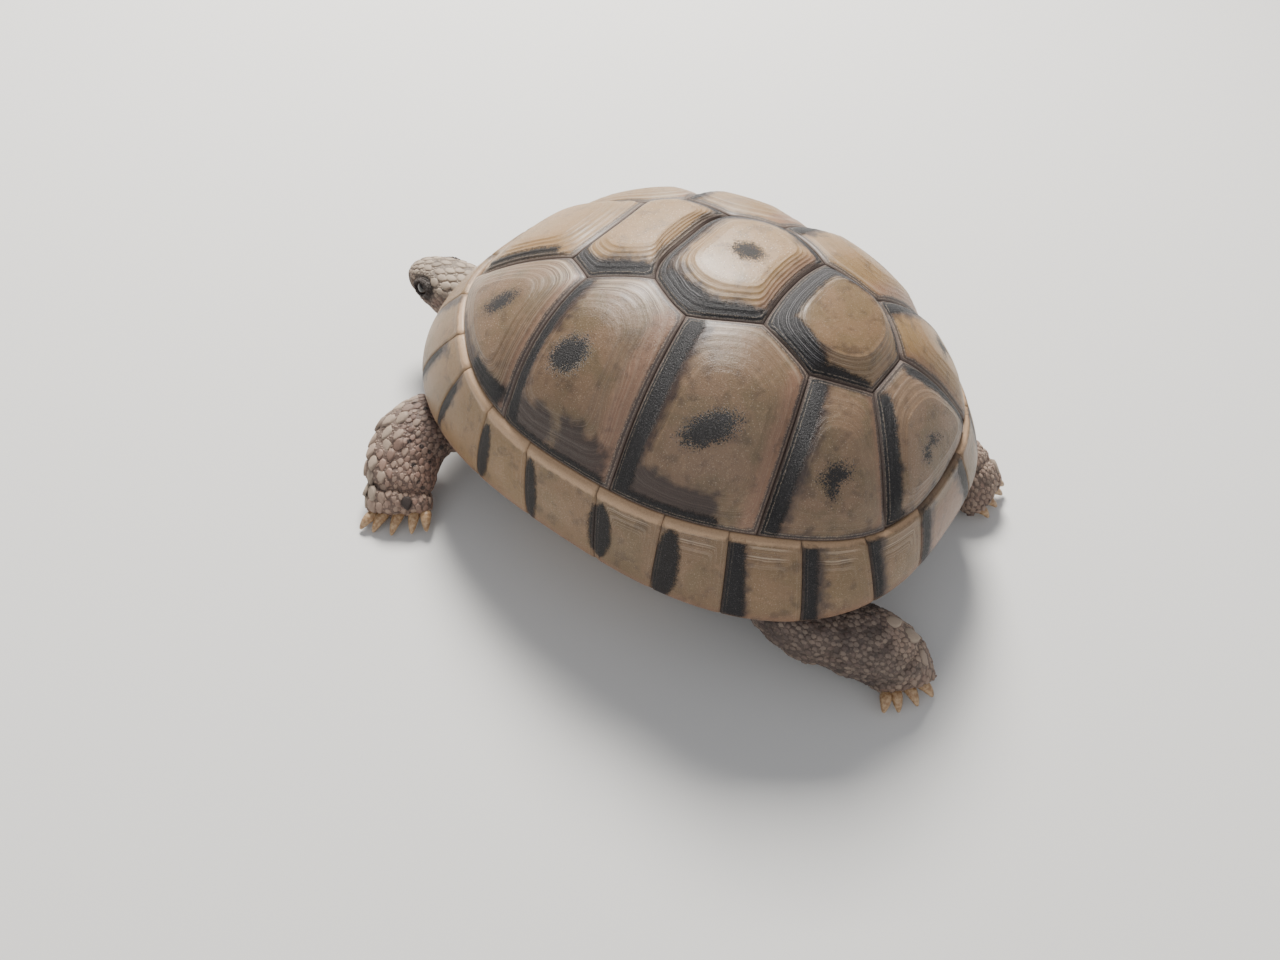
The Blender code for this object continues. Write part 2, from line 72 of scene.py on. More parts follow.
class Look:
    def __init__(self, name):
        self.material = bpy.data.materials.new(name)
        self.material.use_nodes = True
        self.tree = self.material.node_tree
        self.shader = self.tree.nodes["Principled BSDF"]
        coordinates = self.tree.nodes.new("ShaderNodeTexCoord")
        self.place = self.node("ShaderNodeVectorMath", {"operation": "SCALE"},
                               {"Vector": coordinates.outputs["Object"], "Scale": 1000.0})

    def node(self, kind, settings=None, inputs=None, out=0):
        made = self.tree.nodes.new(kind)
        for key, value in (settings or {}).items():
            setattr(made, key, value)
        for key, value in (inputs or {}).items():
            self.feed(made.inputs[key], value)
        return Wire(self, made.outputs[out])

    def feed(self, socket, value):
        if isinstance(value, (Wire, bpy.types.NodeSocket)):
            self.tree.links.new(getattr(value, "socket", value), socket)
        elif isinstance(value, tuple) and len(value) == 3 and socket.type == "RGBA":
            socket.default_value = (*value, 1)
        else:
            socket.default_value = value

    def mix(self, factor, a, b):
        return self.node("ShaderNodeMix", {"data_type": "RGBA", "clamp_factor": True},
                         {"Factor": factor, 6: a, 7: b}, out=2)

    def noise(self, scale, detail=2.0, rough=0.5, warp=0.0):
        return self.node("ShaderNodeTexNoise", {}, {
            "Vector": self.place, "Scale": scale, "Detail": detail, "Roughness": rough, "Distortion": warp})

    def cells(self, scale, jitter=1.0, place=None):
        return self.node("ShaderNodeTexVoronoi", {}, {
            "Vector": place or self.place, "Scale": scale, "Randomness": jitter})

    def lines(self, along, scale, detail=3.0):
        # Noise in one dimension: uneven lines across the direction of along.
        return self.node("ShaderNodeTexNoise", {"noise_dimensions": "1D"},
                         {"W": along, "Scale": scale, "Detail": detail, "Roughness": 0.6})

    def attribute(self, name):
        return self.node("ShaderNodeAttribute", {"attribute_name": name}, out=2)

    def bump(self, height, depth, strength):
        return self.node("ShaderNodeBump", {}, {
            "Height": height, "Distance": depth * 0.001, "Strength": strength})

    def set(self, **values):
        for key, value in values.items():
            self.feed(self.shader.inputs[key.replace("_", " ")], value)
        return self.material


def link(name, data):
    made = bpy.data.objects.new(name, data)
    bpy.context.scene.collection.objects.link(made)
    return made


def hang(mesh, name, look, nodes, values):
    # Gives a finished mesh its values and material, and hangs it on the body.
    for key, data in values.items():
        mesh.attributes.new(key, "FLOAT", "POINT").data.foreach_set("value", data.astype(np.float32))
    mesh.materials.append(look)
    mesh.update()
    piece = link(name, mesh)
    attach(piece, "root")
    if nodes:
        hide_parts(*nodes)


def finishPiece(bm, name, look, nodes, values):
    # Puts the mesh in metres in the model's own frame and hangs it on the body.
    bmesh.ops.recalc_face_normals(bm, faces=bm.faces)
    for face in bm.faces:
        face.smooth = True
    mesh = bpy.data.meshes.new(name)
    bm.to_mesh(mesh)
    bm.free()
    place = np.empty(len(mesh.vertices) * 3, np.float32)
    mesh.vertices.foreach_get("co", place)
    mesh.vertices.foreach_set("co", ((place.reshape(-1, 3) - boxMiddle) * 0.001).ravel())
    hang(mesh, name, look, nodes, values)


def moveVerts(verts, places):
    for vert, co in zip(verts, places):
        vert.co = co


def unit(rows):
    return rows / np.maximum(np.linalg.norm(rows, axis=-1, keepdims=True), 1e-6)


def smoothStep(value, start, end):
    f = np.clip((value - start) / (end - start), 0, 1)
    return f * f * (3 - 2 * f)


def roughness(points, scale, seed=0.0):
    # Perlin noise at each point, about -1 to 1.
    return np.array([noise.noise(Vector(p) * scale + Vector((seed, 0, 0))) for p in points.tolist()])


# The smooth dome that the plates of the carapace lie on.
dome = {
    "frontHalf": 52.5, "rearHalf": 53.3, "width": 80.8,
    "crownZ": 55.2, "crownY": 8.2, "rimZ": 15.8,
    "frontArch": 5.0, "rearArch": 3.0,
    "sideSquare": 0.72, "endSquare": 0.78, "egg": 0.045,
    "flank": (2.28, 1.86), "front": (2.06, 1.35), "rear": (2.25, 1.35), "rearQuarter": -0.34,
}


def rimPoints(bearing):
    s, c = np.sin(bearing), np.cos(bearing)
    half = np.where(c > 0, dome["frontHalf"], dome["rearHalf"])
    y = -half * np.sign(c) * np.abs(c) ** dome["endSquare"]
    x = dome["width"] / 2 * np.sign(s) * np.abs(s) ** dome["sideSquare"]
    x = x * (1 + dome["egg"] * y / dome["frontHalf"])
    z = dome["rimZ"] + np.where(c > 0, c * c + dome["frontArch"] * np.abs(c) ** 6, dome["rearArch"] * c * c)
    return np.stack((x, y, z), -1)


def domePoints(disc):
    # Disc place (u to the left side, v to the rear) to the smooth dome; u, v of length 1 is the rim.
    reach = np.minimum(np.hypot(disc[:, 0], disc[:, 1]), 0.9999)
    bearing = np.arctan2(disc[:, 0], -disc[:, 1])
    s, c = np.sin(bearing), np.cos(bearing)
    front = (c > 0)[:, None]
    end = np.where(front, dome["front"], dome["rear"])
    power = dome["flank"] + (end - dome["flank"]) * (c * c)[:, None]
    power[:, 1] += np.where(c < 0, dome["rearQuarter"] * 4 * s * s * c * c, 0)
    rim = rimPoints(bearing)
    out = np.sin(reach * pi / 2) ** (2 / power[:, 0])
    up = np.cos(reach * pi / 2) ** (2 / power[:, 1])
    return np.stack((out * rim[:, 0], dome["crownY"] + out * (rim[:, 1] - dome["crownY"]),
                     rim[:, 2] + (dome["crownZ"] - rim[:, 2]) * up), -1)


def domeNormals(disc):
    reach = np.hypot(disc[:, 0], disc[:, 1])
    disc = disc * np.minimum(1, 0.97 / np.maximum(reach, 1e-9))[:, None]
    e = 0.02
    alongU = domePoints(disc + (e, 0)) - domePoints(disc - (e, 0))
    alongV = domePoints(disc + (0, e)) - domePoints(disc - (0, e))
    return unit(np.cross(alongU, alongV))


def ringReach(bearing):
    # Reach of the line between the marginals and the plates above them.
    a = radians(bearing)
    return 0.676 - 0.016 * cos(a) - 0.029 * cos(2 * a) - 0.016 * cos(3 * a) + 0.033 * cos(4 * a)


def onDisc(bearing, reach):
    return reach * sin(radians(bearing)), -reach * cos(radians(bearing))


# Corners where three scutes meet on the left half, as (bearing, reach).
corner = {
    "v1v2": (26.0, 0.333), "v2c1c2": (47.5, 0.301), "v2v3": (64.0, 0.182), "v3c2c3": (90.5, 0.222),
    "v3v4": (128.5, 0.162), "v4c3c4": (150.0, 0.283), "v4v5": (174.0, 0.39),
}
for key, bearing in (("frontMid", 0.0), ("nuchal", 4.0), ("v1c1", 15.0), ("c1c2", 75.0), ("c2c3", 94.5),
                     ("c3c4", 125.5), ("c4v5", 162.5), ("tail", 173.5), ("rearMid", 180.0)):
    corner[key] = (bearing, ringReach(bearing))
# Marginal sutures, front to rear: bearing at the ring and at the rim.
sutures = [(4.0, 2.6), (25.0, 16.5), (45.0, 36.0), (58.0, 55.0), (71.0, 73.0), (82.5, 85.5),
           (93.0, 94.8), (105.0, 105.0), (119.0, 119.5), (137.5, 137.7), (156.0, 157.5), (173.5, 171.3)]
# How far the sutures that cross the crown bow to the front, by the bearing of their corner.
crownBow = {corner["v2v3"][0]: 0.055, corner["v3v4"][0]: 0.012}


def follow(start, end, step=0.02):
    # Disc points from one corner up to the next; two corners at one level follow that level round.
    def level(place):
        if abs(place[1] - 1) < 1e-9:
            return "rim"
        return "ring" if abs(place[1] - ringReach(place[0])) < 1e-9 else ""
    a, b = onDisc(*start), onDisc(*end)
    bow = crownBow.get(abs(start[0]), 0.0) if abs(start[0] + end[0]) < 0.01 else 0.0
    count = max(2, round(hypot(b[0] - a[0], b[1] - a[1]) / step))
    points = []
    for i in range(count):
        f = i / count
        bearing = start[0] + (end[0] - start[0]) * f
        if level(start) == level(end) == "ring" and abs(end[0] - start[0]) > 0.01:
            points.append(onDisc(bearing, ringReach(bearing)))
        elif level(start) == level(end) == "rim":
            points.append(onDisc(bearing, 1.0))
        else:
            points.append((a[0] + (b[0] - a[0]) * f, a[1] + (b[1] - a[1]) * f - bow * 4 * f * (1 - f)))
    return points


def growSheet(outline, middle, areola, loops, rounding):
    # A face over the outline, drawn in loop by loop to the areola, with a wall and a lining under it.
    bm = bmesh.new()
    size = bm.verts.layers.float.new("size")
    under = bm.verts.layers.float.new("under")
    top = bm.faces.new([bm.verts.new((u, v, 0)) for u, v in outline])
    rim = top.edges[:]
    for vert in top.verts:
        vert[size] = 1.0
    space = Matrix.Translation((-middle[0], -middle[1], 0))
    levels = [1 - (1 - areola) * i / loops for i in range(1, loops + 1)]
    levels += [areola * k for k in (0.8, 0.6, 0.4, 0.2)]
    now = 1.0
    for level in levels:
        top = bmesh.ops.extrude_discrete_faces(bm, faces=[top])["faces"][0]
        bmesh.ops.scale(bm, vec=(level / now, level / now, 1), space=space, verts=top.verts)
        loop = np.array([vert.co for vert in top.verts])
        loop += ((np.roll(loop, 1, 0) + np.roll(loop, -1, 0)) * 0.5 - loop) * rounding
        moveVerts(top.verts, loop)
        for vert in top.verts:
            vert[size] = level
        now = level
    bmesh.ops.poke(bm, faces=[top])["verts"][0][size] = 0.0
    for level in (1.0, 0.66, 0.33):
        made = bmesh.ops.extrude_edge_only(bm, edges=rim)["geom"]
        rim = [item for item in made if isinstance(item, bmesh.types.BMEdge) and item.is_boundary]
        verts = list({vert for edge in rim for vert in edge.verts})
        last = verts[0][size]
        bmesh.ops.scale(bm, vec=(level / last, level / last, 1), space=space, verts=verts)
        for vert in verts:
            vert[size], vert[under] = level, 1.0
    lid = bmesh.ops.contextual_create(bm, geom=rim)["faces"]
    bmesh.ops.poke(bm, faces=lid)
    bm.verts.index_update()
    rows = np.array([(*vert.co[:2], vert[size], vert[under]) for vert in bm.verts])
    return bm, rows[:, :2], rows[:, 2], rows[:, 3] > 0


def nearest(points, run):
    # Distance from each point to a run of points, and how far along it (0 to 1).
    best = np.full(len(points), 1e9)
    along = np.zeros(len(points))
    lengths = np.linalg.norm(run[1:] - run[:-1], axis=1)
    total = lengths.sum()
    done = 0.0
    for a, b, length in zip(run[:-1], run[1:], lengths):
        f = np.clip(((points - a) @ (b - a)) / max(length * length, 1e-9), 0, 1)
        away = np.linalg.norm(points - (a + f[:, None] * (b - a)), axis=1)
        closer = away < best
        best = np.where(closer, away, best)
        along = np.where(closer, (done + f * length) / total, along)
        done += length
    return best, along


def bandDepth(edges, edge, start, end, inner, width, widthEnd=None):
    # How deep a point lies inside a band that runs beside one edge, in millimetres; below 0 is outside.
    away, along, length = edges[edge]
    widthEnd = width if widthEnd is None else widthEnd
    outer = inner + width + (widthEnd - width) * (along - start) / (end - start)
    inside = np.minimum(outer - away, (away - inner) if inner > 0 else 9.0)
    return np.minimum(inside, np.minimum(along - start, end - along) * length)


def lensDepth(edges, edge, start, end, offset, half):
    # The same for a spindle that lies along an edge, its own middle line offset from it.
    away, along, length = edges[edge]
    f = np.clip(1 - ((along - (start + end) / 2) / ((end - start) / 2)) ** 2, 0, 1)
    return half * f ** 0.75 - np.abs(away - offset) - (f == 0) * 0.6


def spotDepth(points, normals, middle, forward, spot):
    # The same for an oval spot: place along and across from the areola, two radii and a turn.
    along, across, longRadius, shortRadius, turn = spot
    side = np.cross(normals, forward)
    offset = points - middle
    x = (offset * forward).sum(1) - along
    y = (offset * side).sum(1) - across
    c, s = cos(radians(turn)), sin(radians(turn))
    x, y = x * c + y * s, y * c - x * s
    return (1 - np.hypot(x / longRadius, y / shortRadius)) * shortRadius


plateShape = {"gap": 0.03, "flare": 0.12, "thick": 1.1, "sink": 0.95, "areola": 0.44, "loops": 48,
              "groove": 0.11}


def carapaceRuns(corners):
    runs = []
    for i, start in enumerate(corners):
        end = corners[(i + 1) % len(corners)]
        runs.append(follow(start, end) + [onDisc(*end)])
    return runs


def scute(name, flatRuns, spec, look, mirrored=False, surface=(domePoints, domeNormals)):
    # flatRuns: one list of disc points for each edge, last point included.
    points, normals = surface
    runs = [points(np.array(run)) for run in flatRuns]
    outline = np.array([place for run in flatRuns for place in run[:-1]])
    middle = outline.mean(0) + spec.get("shift", (0, 0))
    areola = spec.get("areola", plateShape["areola"])
    bm, disc, size, wall = growSheet(outline, middle, areola, spec.get("loops", plateShape["loops"]),
                                     spec.get("rounding", 0.22))
    smoothed = points(disc)
    up = normals(disc)
    grown = np.clip((1 - size) / (1 - areola), 0, 1)
    wobble = roughness(smoothed, 0.25, spec.get("seed", 0.0)) * 0.035 + roughness(smoothed, 0.9, 5.0) * 0.008
    grown = np.clip(grown + wobble * np.sin(grown * pi), 0, 1)
    edges = {}
    for i, run in enumerate(runs):
        away, along = nearest(smoothed, run)
        edges[i] = (away, along, np.linalg.norm(run[1:] - run[:-1], axis=1).sum())
    seam = np.min([away for away, along, length in edges.values()], axis=0)

    # The growth rings are worn terraces that climb to the areola.
    rings = spec.get("rings", 6)
    turn = grown * rings
    stair = (np.floor(turn) + smoothStep(turn - np.floor(turn), 0.55, 1.0)) / rings
    stair = np.minimum(stair, 1.0)
    crisp = spec.get("crisp", 0.5)
    rise = grown * (1 - crisp) + stair * crisp
    rise = np.minimum(rise * 1.15, 1.0) ** spec.get("curve", 0.62)
    lift, sink = spec.get("lift", 0.8), spec.get("sink", plateShape["sink"])
    if "shallow" in spec:
        sink = sink - (sink - 0.45) * smoothStep(edges[spec["shallow"]][0], 4.5, 0.5)
    height = -sink + (lift + sink) * rise
    height -= spec.get("groove", plateShape["groove"]) * np.exp(-seam / 0.22)
    lip = np.maximum(0, 1 - np.abs(turn - np.round(turn)) / 0.16) * (turn > 0.6)
    height += lip * spec.get("lip", 0.05)
    height += roughness(smoothed, 0.12, 11.0) * 0.12 * smoothStep(seam, 0, 4)
    if "edit" in spec:
        height = spec["edit"](height, edges)
    height = np.minimum(height, lift)
    height = np.where(wall, -sink - plateShape["thick"], height)

    # The outline draws in a little, so neighbours never touch; the hidden foot of the wall closes the gap.
    centre = points(middle[None])[0]
    draw = np.where(wall, -plateShape["flare"], plateShape["gap"]) * (size > 0.999)
    place = smoothed + up * height[:, None] + unit(centre - smoothed) * draw[:, None]
    if "under" in spec:
        place = spec["under"](place, edges, wall)

    zones = {}
    for key in ("ink", "umber", "shine", "fresh", "strip"):
        zones[key] = np.full(len(disc), -9.0)
        for band in spec.get(key, []):
            zones[key] = np.maximum(zones[key], bandDepth(edges, *band))
    for lens in spec.get("lens", []):
        zones["ink"] = np.maximum(zones["ink"], lensDepth(edges, *lens))
    if "clear" in spec:
        # The black stays on the flanks, off the flat middle.
        for key in ("ink", "umber"):
            zones[key] = np.minimum(zones[key], (spec["clear"] - grown) * 9)
    forward = unit(points((middle + (0, -0.01))[None])[0] - centre)
    spot = np.full(len(disc), -9.0)
    for item in spec.get("spots", []):
        spot = np.maximum(spot, spotDepth(smoothed, up, centre, forward, item))
    if "ragged" in spec:
        spot = spot + roughness(smoothed, 0.22, 31.0) * spec["ragged"] - 0.5
    values = {key: np.clip(data, -9, 9) for key, data in zones.items()}
    darkness = smoothStep(np.maximum(zones["umber"], zones["ink"]), -0.4, 0.7)
    # Growth lines gain contrast along the edges that face the key light; their pale lines there are painted
    # highlights.
    contrast = spec.get("contrast", 0.4) + 0.6 * smoothStep(zones["shine"], -1.5, 1.0)
    contrast *= 1 - spec.get("plain", 0.75) * darkness
    values.update({
        "spot": spot, "grown": grown, "seam": np.minimum(seam, 30),
        "lip": lip * (1 - grown) * (1 - 0.85 * darkness),
        "yellow": np.full(len(disc), spec.get("yellow", 0.0)),
        "stipple": smoothStep(grown, 0.75, 1.0) * spec.get("stipple", 0.3),
        "contrast": np.clip(contrast, 0, 1.1), "soft": np.full(len(disc), spec.get("soft", 0.0)),
        "wall": wall * 1.0,
    })
    moveVerts(bm.verts, place)
    if mirrored:
        bmesh.ops.scale(bm, vec=(-1, 1, 1), verts=bm.verts)
    finishPiece(bm, name, look, [spec.get("node", name)], values)


# Horn of the shell.
hornColours = {
    "tan": (0.19, 0.116, 0.066), "olive": (0.15, 0.1, 0.052), "yellow": (0.4, 0.225, 0.07),
    "rose": (0.25, 0.132, 0.082), "cream": (0.6, 0.48, 0.36), "umber": (0.026, 0.014, 0.011),
    "plum": (0.052, 0.03, 0.0275), "ink": (0.0045, 0.004, 0.005), "glint": (0.13, 0.115, 0.118),
    "strip": (0.5, 0.325, 0.19), "seam": (0.14, 0.1, 0.082), "border": (0.03, 0.024, 0.024),
    "lining": (0.15, 0.1, 0.062), "glare": (0.34, 0.33, 0.345),
}


def hornLook(name):
    look = Look(name)
    tone = hornColours
    ink, umber, spot, grown, seam, fresh, contrast, soft, stipple, shine, strip = map(
        look.attribute, "ink umber spot grown seam fresh contrast soft stipple shine strip".split())
    cloud = look.noise(0.16, 4, 0.55, 0.6)
    mottle = look.noise(0.9, 4, 0.6)
    blotch = look.noise(0.42, 3, 0.55)
    grain = look.noise(4.2, 3, 0.7)
    speckle = look.noise(5.4, 2, 0.6)
    wavy = (blotch - 0.5) * 0.03 + (mottle - 0.5) * 0.01
    rings = look.lines(grown + wavy, 34, 4)
    fineRings = look.lines(grown + wavy, 110, 3)
    young = (1 - grown).step(0.02, 0.3)

    body = look.mix(cloud.step(0.38, 0.66), tone["tan"], tone["olive"])
    body = look.mix(look.attribute("yellow"), body, tone["yellow"])
    body = look.mix((fresh + (mottle - 0.5) * 1.6).step(-0.8, 1.4) * 0.7, body, tone["rose"])
    body = look.mix(blotch.step(0.5, 0.7) * 0.36, body, tone["umber"])
    body = look.mix(mottle.step(0.55, 0.75) * 0.16, body, tone["strip"])
    # Dots over the middle of a plate, the part it hatched with.
    body = look.mix(look.cells(2.3).step(0.3, 0.12) * stipple * mottle.step(0.35, 0.6), body, tone["umber"])
    shifted = look.node("ShaderNodeVectorMath", {"operation": "ADD"}, {0: look.place, 1: (31.0, 7.0, 3.0)})
    body = look.mix(look.cells(1.9, place=shifted).step(0.22, 0.1) * stipple * 0.9, body, tone["cream"])
    body = look.mix(grain.step(0.6, 0.74) * 0.25, body, tone["umber"])
    # Pale specks: painted glints of the grainy horn.
    body = look.mix(speckle.step(0.6, 0.7) * 0.3, body, tone["cream"])

    brown = (umber + (cloud - 0.5) * 2.5 + (blotch - 0.5) * 3.2 + (mottle - 0.5) * 1.6).step(-1.1, 1.3)
    earth = look.mix(rings.step(0.4, 0.66) * 0.55, tone["umber"], tone["plum"])
    colour = look.mix(brown * 0.92, body, earth)
    # Pale and dark lines of growth, strongest where the plate is steep; along the edges that face the key
    # light their contrast is raised further, and the pale lines there are painted highlights.
    paleLine = (rings * 0.6 + fineRings * 0.4).step(0.54, 0.61)
    darkLine = (rings * 0.5 + fineRings * 0.5).step(0.47, 0.41)
    colour = look.mix(darkLine * contrast * 0.7 * young, colour, tone["umber"])
    colour = look.mix(paleLine * contrast * 0.62 * young, colour, tone["cream"])
    colour = look.mix(look.attribute("lip") * contrast, colour, tone["cream"])

    # Grainy black bands and spots.
    ragged = (mottle - 0.5) * 1.2 + (grain - 0.5) * 1.8 + (fineRings - 0.5) * 1.0
    black = (ink + ragged).step(-0.45, 0.3) * (1 - paleLine * contrast * 0.25)
    fleck = spot * 0.9 + 0.35 + (grain - 0.5) * 5.0 + (speckle - 0.5) * 3.4 + (mottle - 0.5) * 1.6
    border = (seam + (grain - 0.5) * 1.1 + (mottle - 0.5) * 0.6).step(1.25, 0.75) * (1 - soft)
    colour = look.mix(border * 0.8, colour, tone["border"])
    dark = black.high(fleck.step(0.0, 0.3))
    colour = look.mix(dark * 0.97, colour, tone["ink"])
    # Painted highlight: pale glare lines over the black along the edges that face the key light.
    sheen = (shine + (mottle - 0.5) * 2.0).step(0.0, 1.6) * paleLine * dark
    colour = look.mix(sheen * 0.55, colour, tone["glare"])
    # Painted glints: pale specks over the black bands and the dark borders.
    colour = look.mix(speckle.step(0.6, 0.7) * dark.high(border) * 0.75, colour, tone["glint"])
    # The seam itself: worn lines either side of a brown groove.
    worn = (seam + (grain - 0.5) * 0.3).step(0.5, 0.25) * 0.75
    colour = look.mix(worn * (1 - soft * 0.75), colour, tone["seam"])
    for away in (0.4, 0.86):
        thread = (seam + (mottle - 0.5) * 0.25 - away).absolute().step(0.12, 0.03)
        colour = look.mix(thread * grain.step(0.4, 0.6) * (0.34 - soft * 0.24), colour, tone["cream"])
    flesh = look.mix(grain.step(0.4, 0.7) * 0.35, tone["strip"], tone["rose"])
    colour = look.mix((strip + (mottle - 0.5) * 0.9).step(-0.25, 0.35) * 0.88, colour, flesh)
    colour = look.mix(seam.step(0.12, 0.04) * (0.4 - soft * 0.24), colour, tone["umber"])
    colour = look.mix(look.attribute("wall"), colour, tone["lining"])

    rough = 0.3 + grain * 0.16 + mottle * 0.1 + dark * 0.1 + seam.step(0.8, 0.2) * 0.2
    height = rings * 0.4 * contrast + fineRings * 0.22 + grain * (0.34 + dark * 0.9) + mottle * 0.4
    return look.set(Base_Color=colour, Roughness=rough, Normal=look.bump(height, 0.24, 0.85),
                    Specular_IOR_Level=0.45, Coat_Weight=(1 - dark) * 0.12, Coat_Roughness=0.26)


def bothSides(left):
    # Corner list of a midline scute from the names of its left half, front to rear.
    places = [corner[key] for key in left]
    return places + [(-bearing, reach) for bearing, reach in reversed(places)]


def mirrorEdges(bands, count, first):
    # The same bands on the other half of a midline scute; first is its highest left edge.
    return bands + [(first - band[0], 1 - band[2], 1 - band[1], band[3],
                     band[5] if len(band) > 5 else band[4], band[4]) for band in bands if band[0] <= count]


# The three plates of the crown are raised and flat on top, with dark flanks.
crown = {"lift": 1.0, "contrast": 0.16, "curve": 0.85, "plain": 0.45, "crisp": 0.28, "lip": 0.035,
         "sink": 1.1, "rings": 7, "clear": 0.9, "stipple": 1.0}
vertebralSpecs = {
    "vertebral_1": {
        "lift": 0.8, "yellow": 0.5, "contrast": 0.35, "shift": (0, 0.02), "stipple": 0.6, "seed": 1.0,
        "ink": mirrorEdges([(1, 0.12, 0.86, 0.9, 1.4)], 1, 4), "crisp": 0.45},
    "vertebral_2": {
        **crown, "yellow": 0.52, "seed": 2.0, "areola": 0.48, "rounding": 0.09,
        "ink": mirrorEdges([(0, 0.0, 1.0, 0.5, 2.4), (1, 0.0, 1.0, 0.6, 2.6, 1.7)], 1, 4) +
        [(5, 0.02, 0.98, 0.5, 1.5)],
        "umber": mirrorEdges([(0, 0, 1, 0, 2.6), (1, 0, 1, 0, 4.2, 3.4)], 1, 4),
        "shine": mirrorEdges([(0, 0, 1, 0, 5.0)], 1, 4) + [(5, 0, 1, 0, 3.0)]},
    "vertebral_3": {
        **crown, "yellow": 0.52, "seed": 3.0, "areola": 0.48, "rounding": 0.05,
        "spots": [(0.6, 0.0, 2.3, 1.9, 0.0)],
        "ink": mirrorEdges([(0, 0.0, 1.0, 0.3, 2.9, 4.4), (1, 0.0, 1.0, 0.3, 3.2, 1.8)], 1, 4) +
        [(5, 0.02, 0.98, 0.4, 1.5)],
        "umber": mirrorEdges([(0, 0, 1, 0, 5.2), (1, 0, 1, 0, 4.4, 2.8)], 1, 4) + [(5, 0, 1, 0, 3.8)],
        "shine": mirrorEdges([(0, 0, 1, 0, 6.5)], 1, 4) + [(5, 0, 1, 0, 6.0)],
        "fresh": mirrorEdges([(1, 0.6, 1.0, 0.0, 3.0)], 1, 4) + [(2, 0, 1, 0, 2.6), (3, 0, 1, 0, 2.6)]},
    "vertebral_4": {
        **crown, "yellow": 0.12, "contrast": 0.22, "stipple": 0.1, "seed": 4.0, "areola": 0.54,
        "shift": (0, 0.01),
        "ink": mirrorEdges([(0, 0.0, 1.0, 0.3, 4.2, 3.0), (1, 0.0, 0.9, 0.35, 2.1, 1.0)], 1, 4) +
        [(5, 0.02, 0.98, 0.35, 3.4)],
        "umber": [(0, 0, 1, 0, 4.4), (4, 0, 1, 0, 4.4), (5, 0, 1, 0, 3.8)],
        "shine": mirrorEdges([(0, 0, 1, 0, 6.5)], 1, 4) + [(5, 0, 1, 0, 6.0)]},
    "vertebral_5": {
        "lift": 0.85, "contrast": 0.12, "crisp": 0.2, "shallow": 2, "seed": 5.0,
        "ink": mirrorEdges([(0, 0.03, 1.0, 0.3, 2.5), (1, 0.02, 0.55, 0.3, 1.6)], 1, 5),
        "umber": mirrorEdges([(0, 0.0, 1.0, 0.0, 2.6), (1, 0.1, 0.7, 0.4, 2.2)], 1, 5) +
        [(2, 0.2, 0.9, 0.3, 1.6), (3, 0.1, 0.8, 0.3, 1.6)],
        "spots": [(-1.0, 2.8, 1.0, 0.8, 0), (-0.2, -0.4, 1.1, 0.6, 60)]},
}
vertebralCorners = {
    "vertebral_1": bothSides(["frontMid", "nuchal", "v1c1", "v1v2"])[1:],
    "vertebral_2": bothSides(["v1v2", "v2c1c2", "v2v3"]),
    "vertebral_3": bothSides(["v2v3", "v3c2c3", "v3v4"]),
    "vertebral_4": bothSides(["v3v4", "v4c3c4", "v4v5"]),
    "vertebral_5": [corner[key] for key in ("v4v5", "c4v5", "tail", "rearMid")] + [
        (360 - corner["tail"][0], corner["tail"][1]), (360 - corner["c4v5"][0], corner["c4v5"][1]),
        (-corner["v4v5"][0], corner["v4v5"][1])],
}
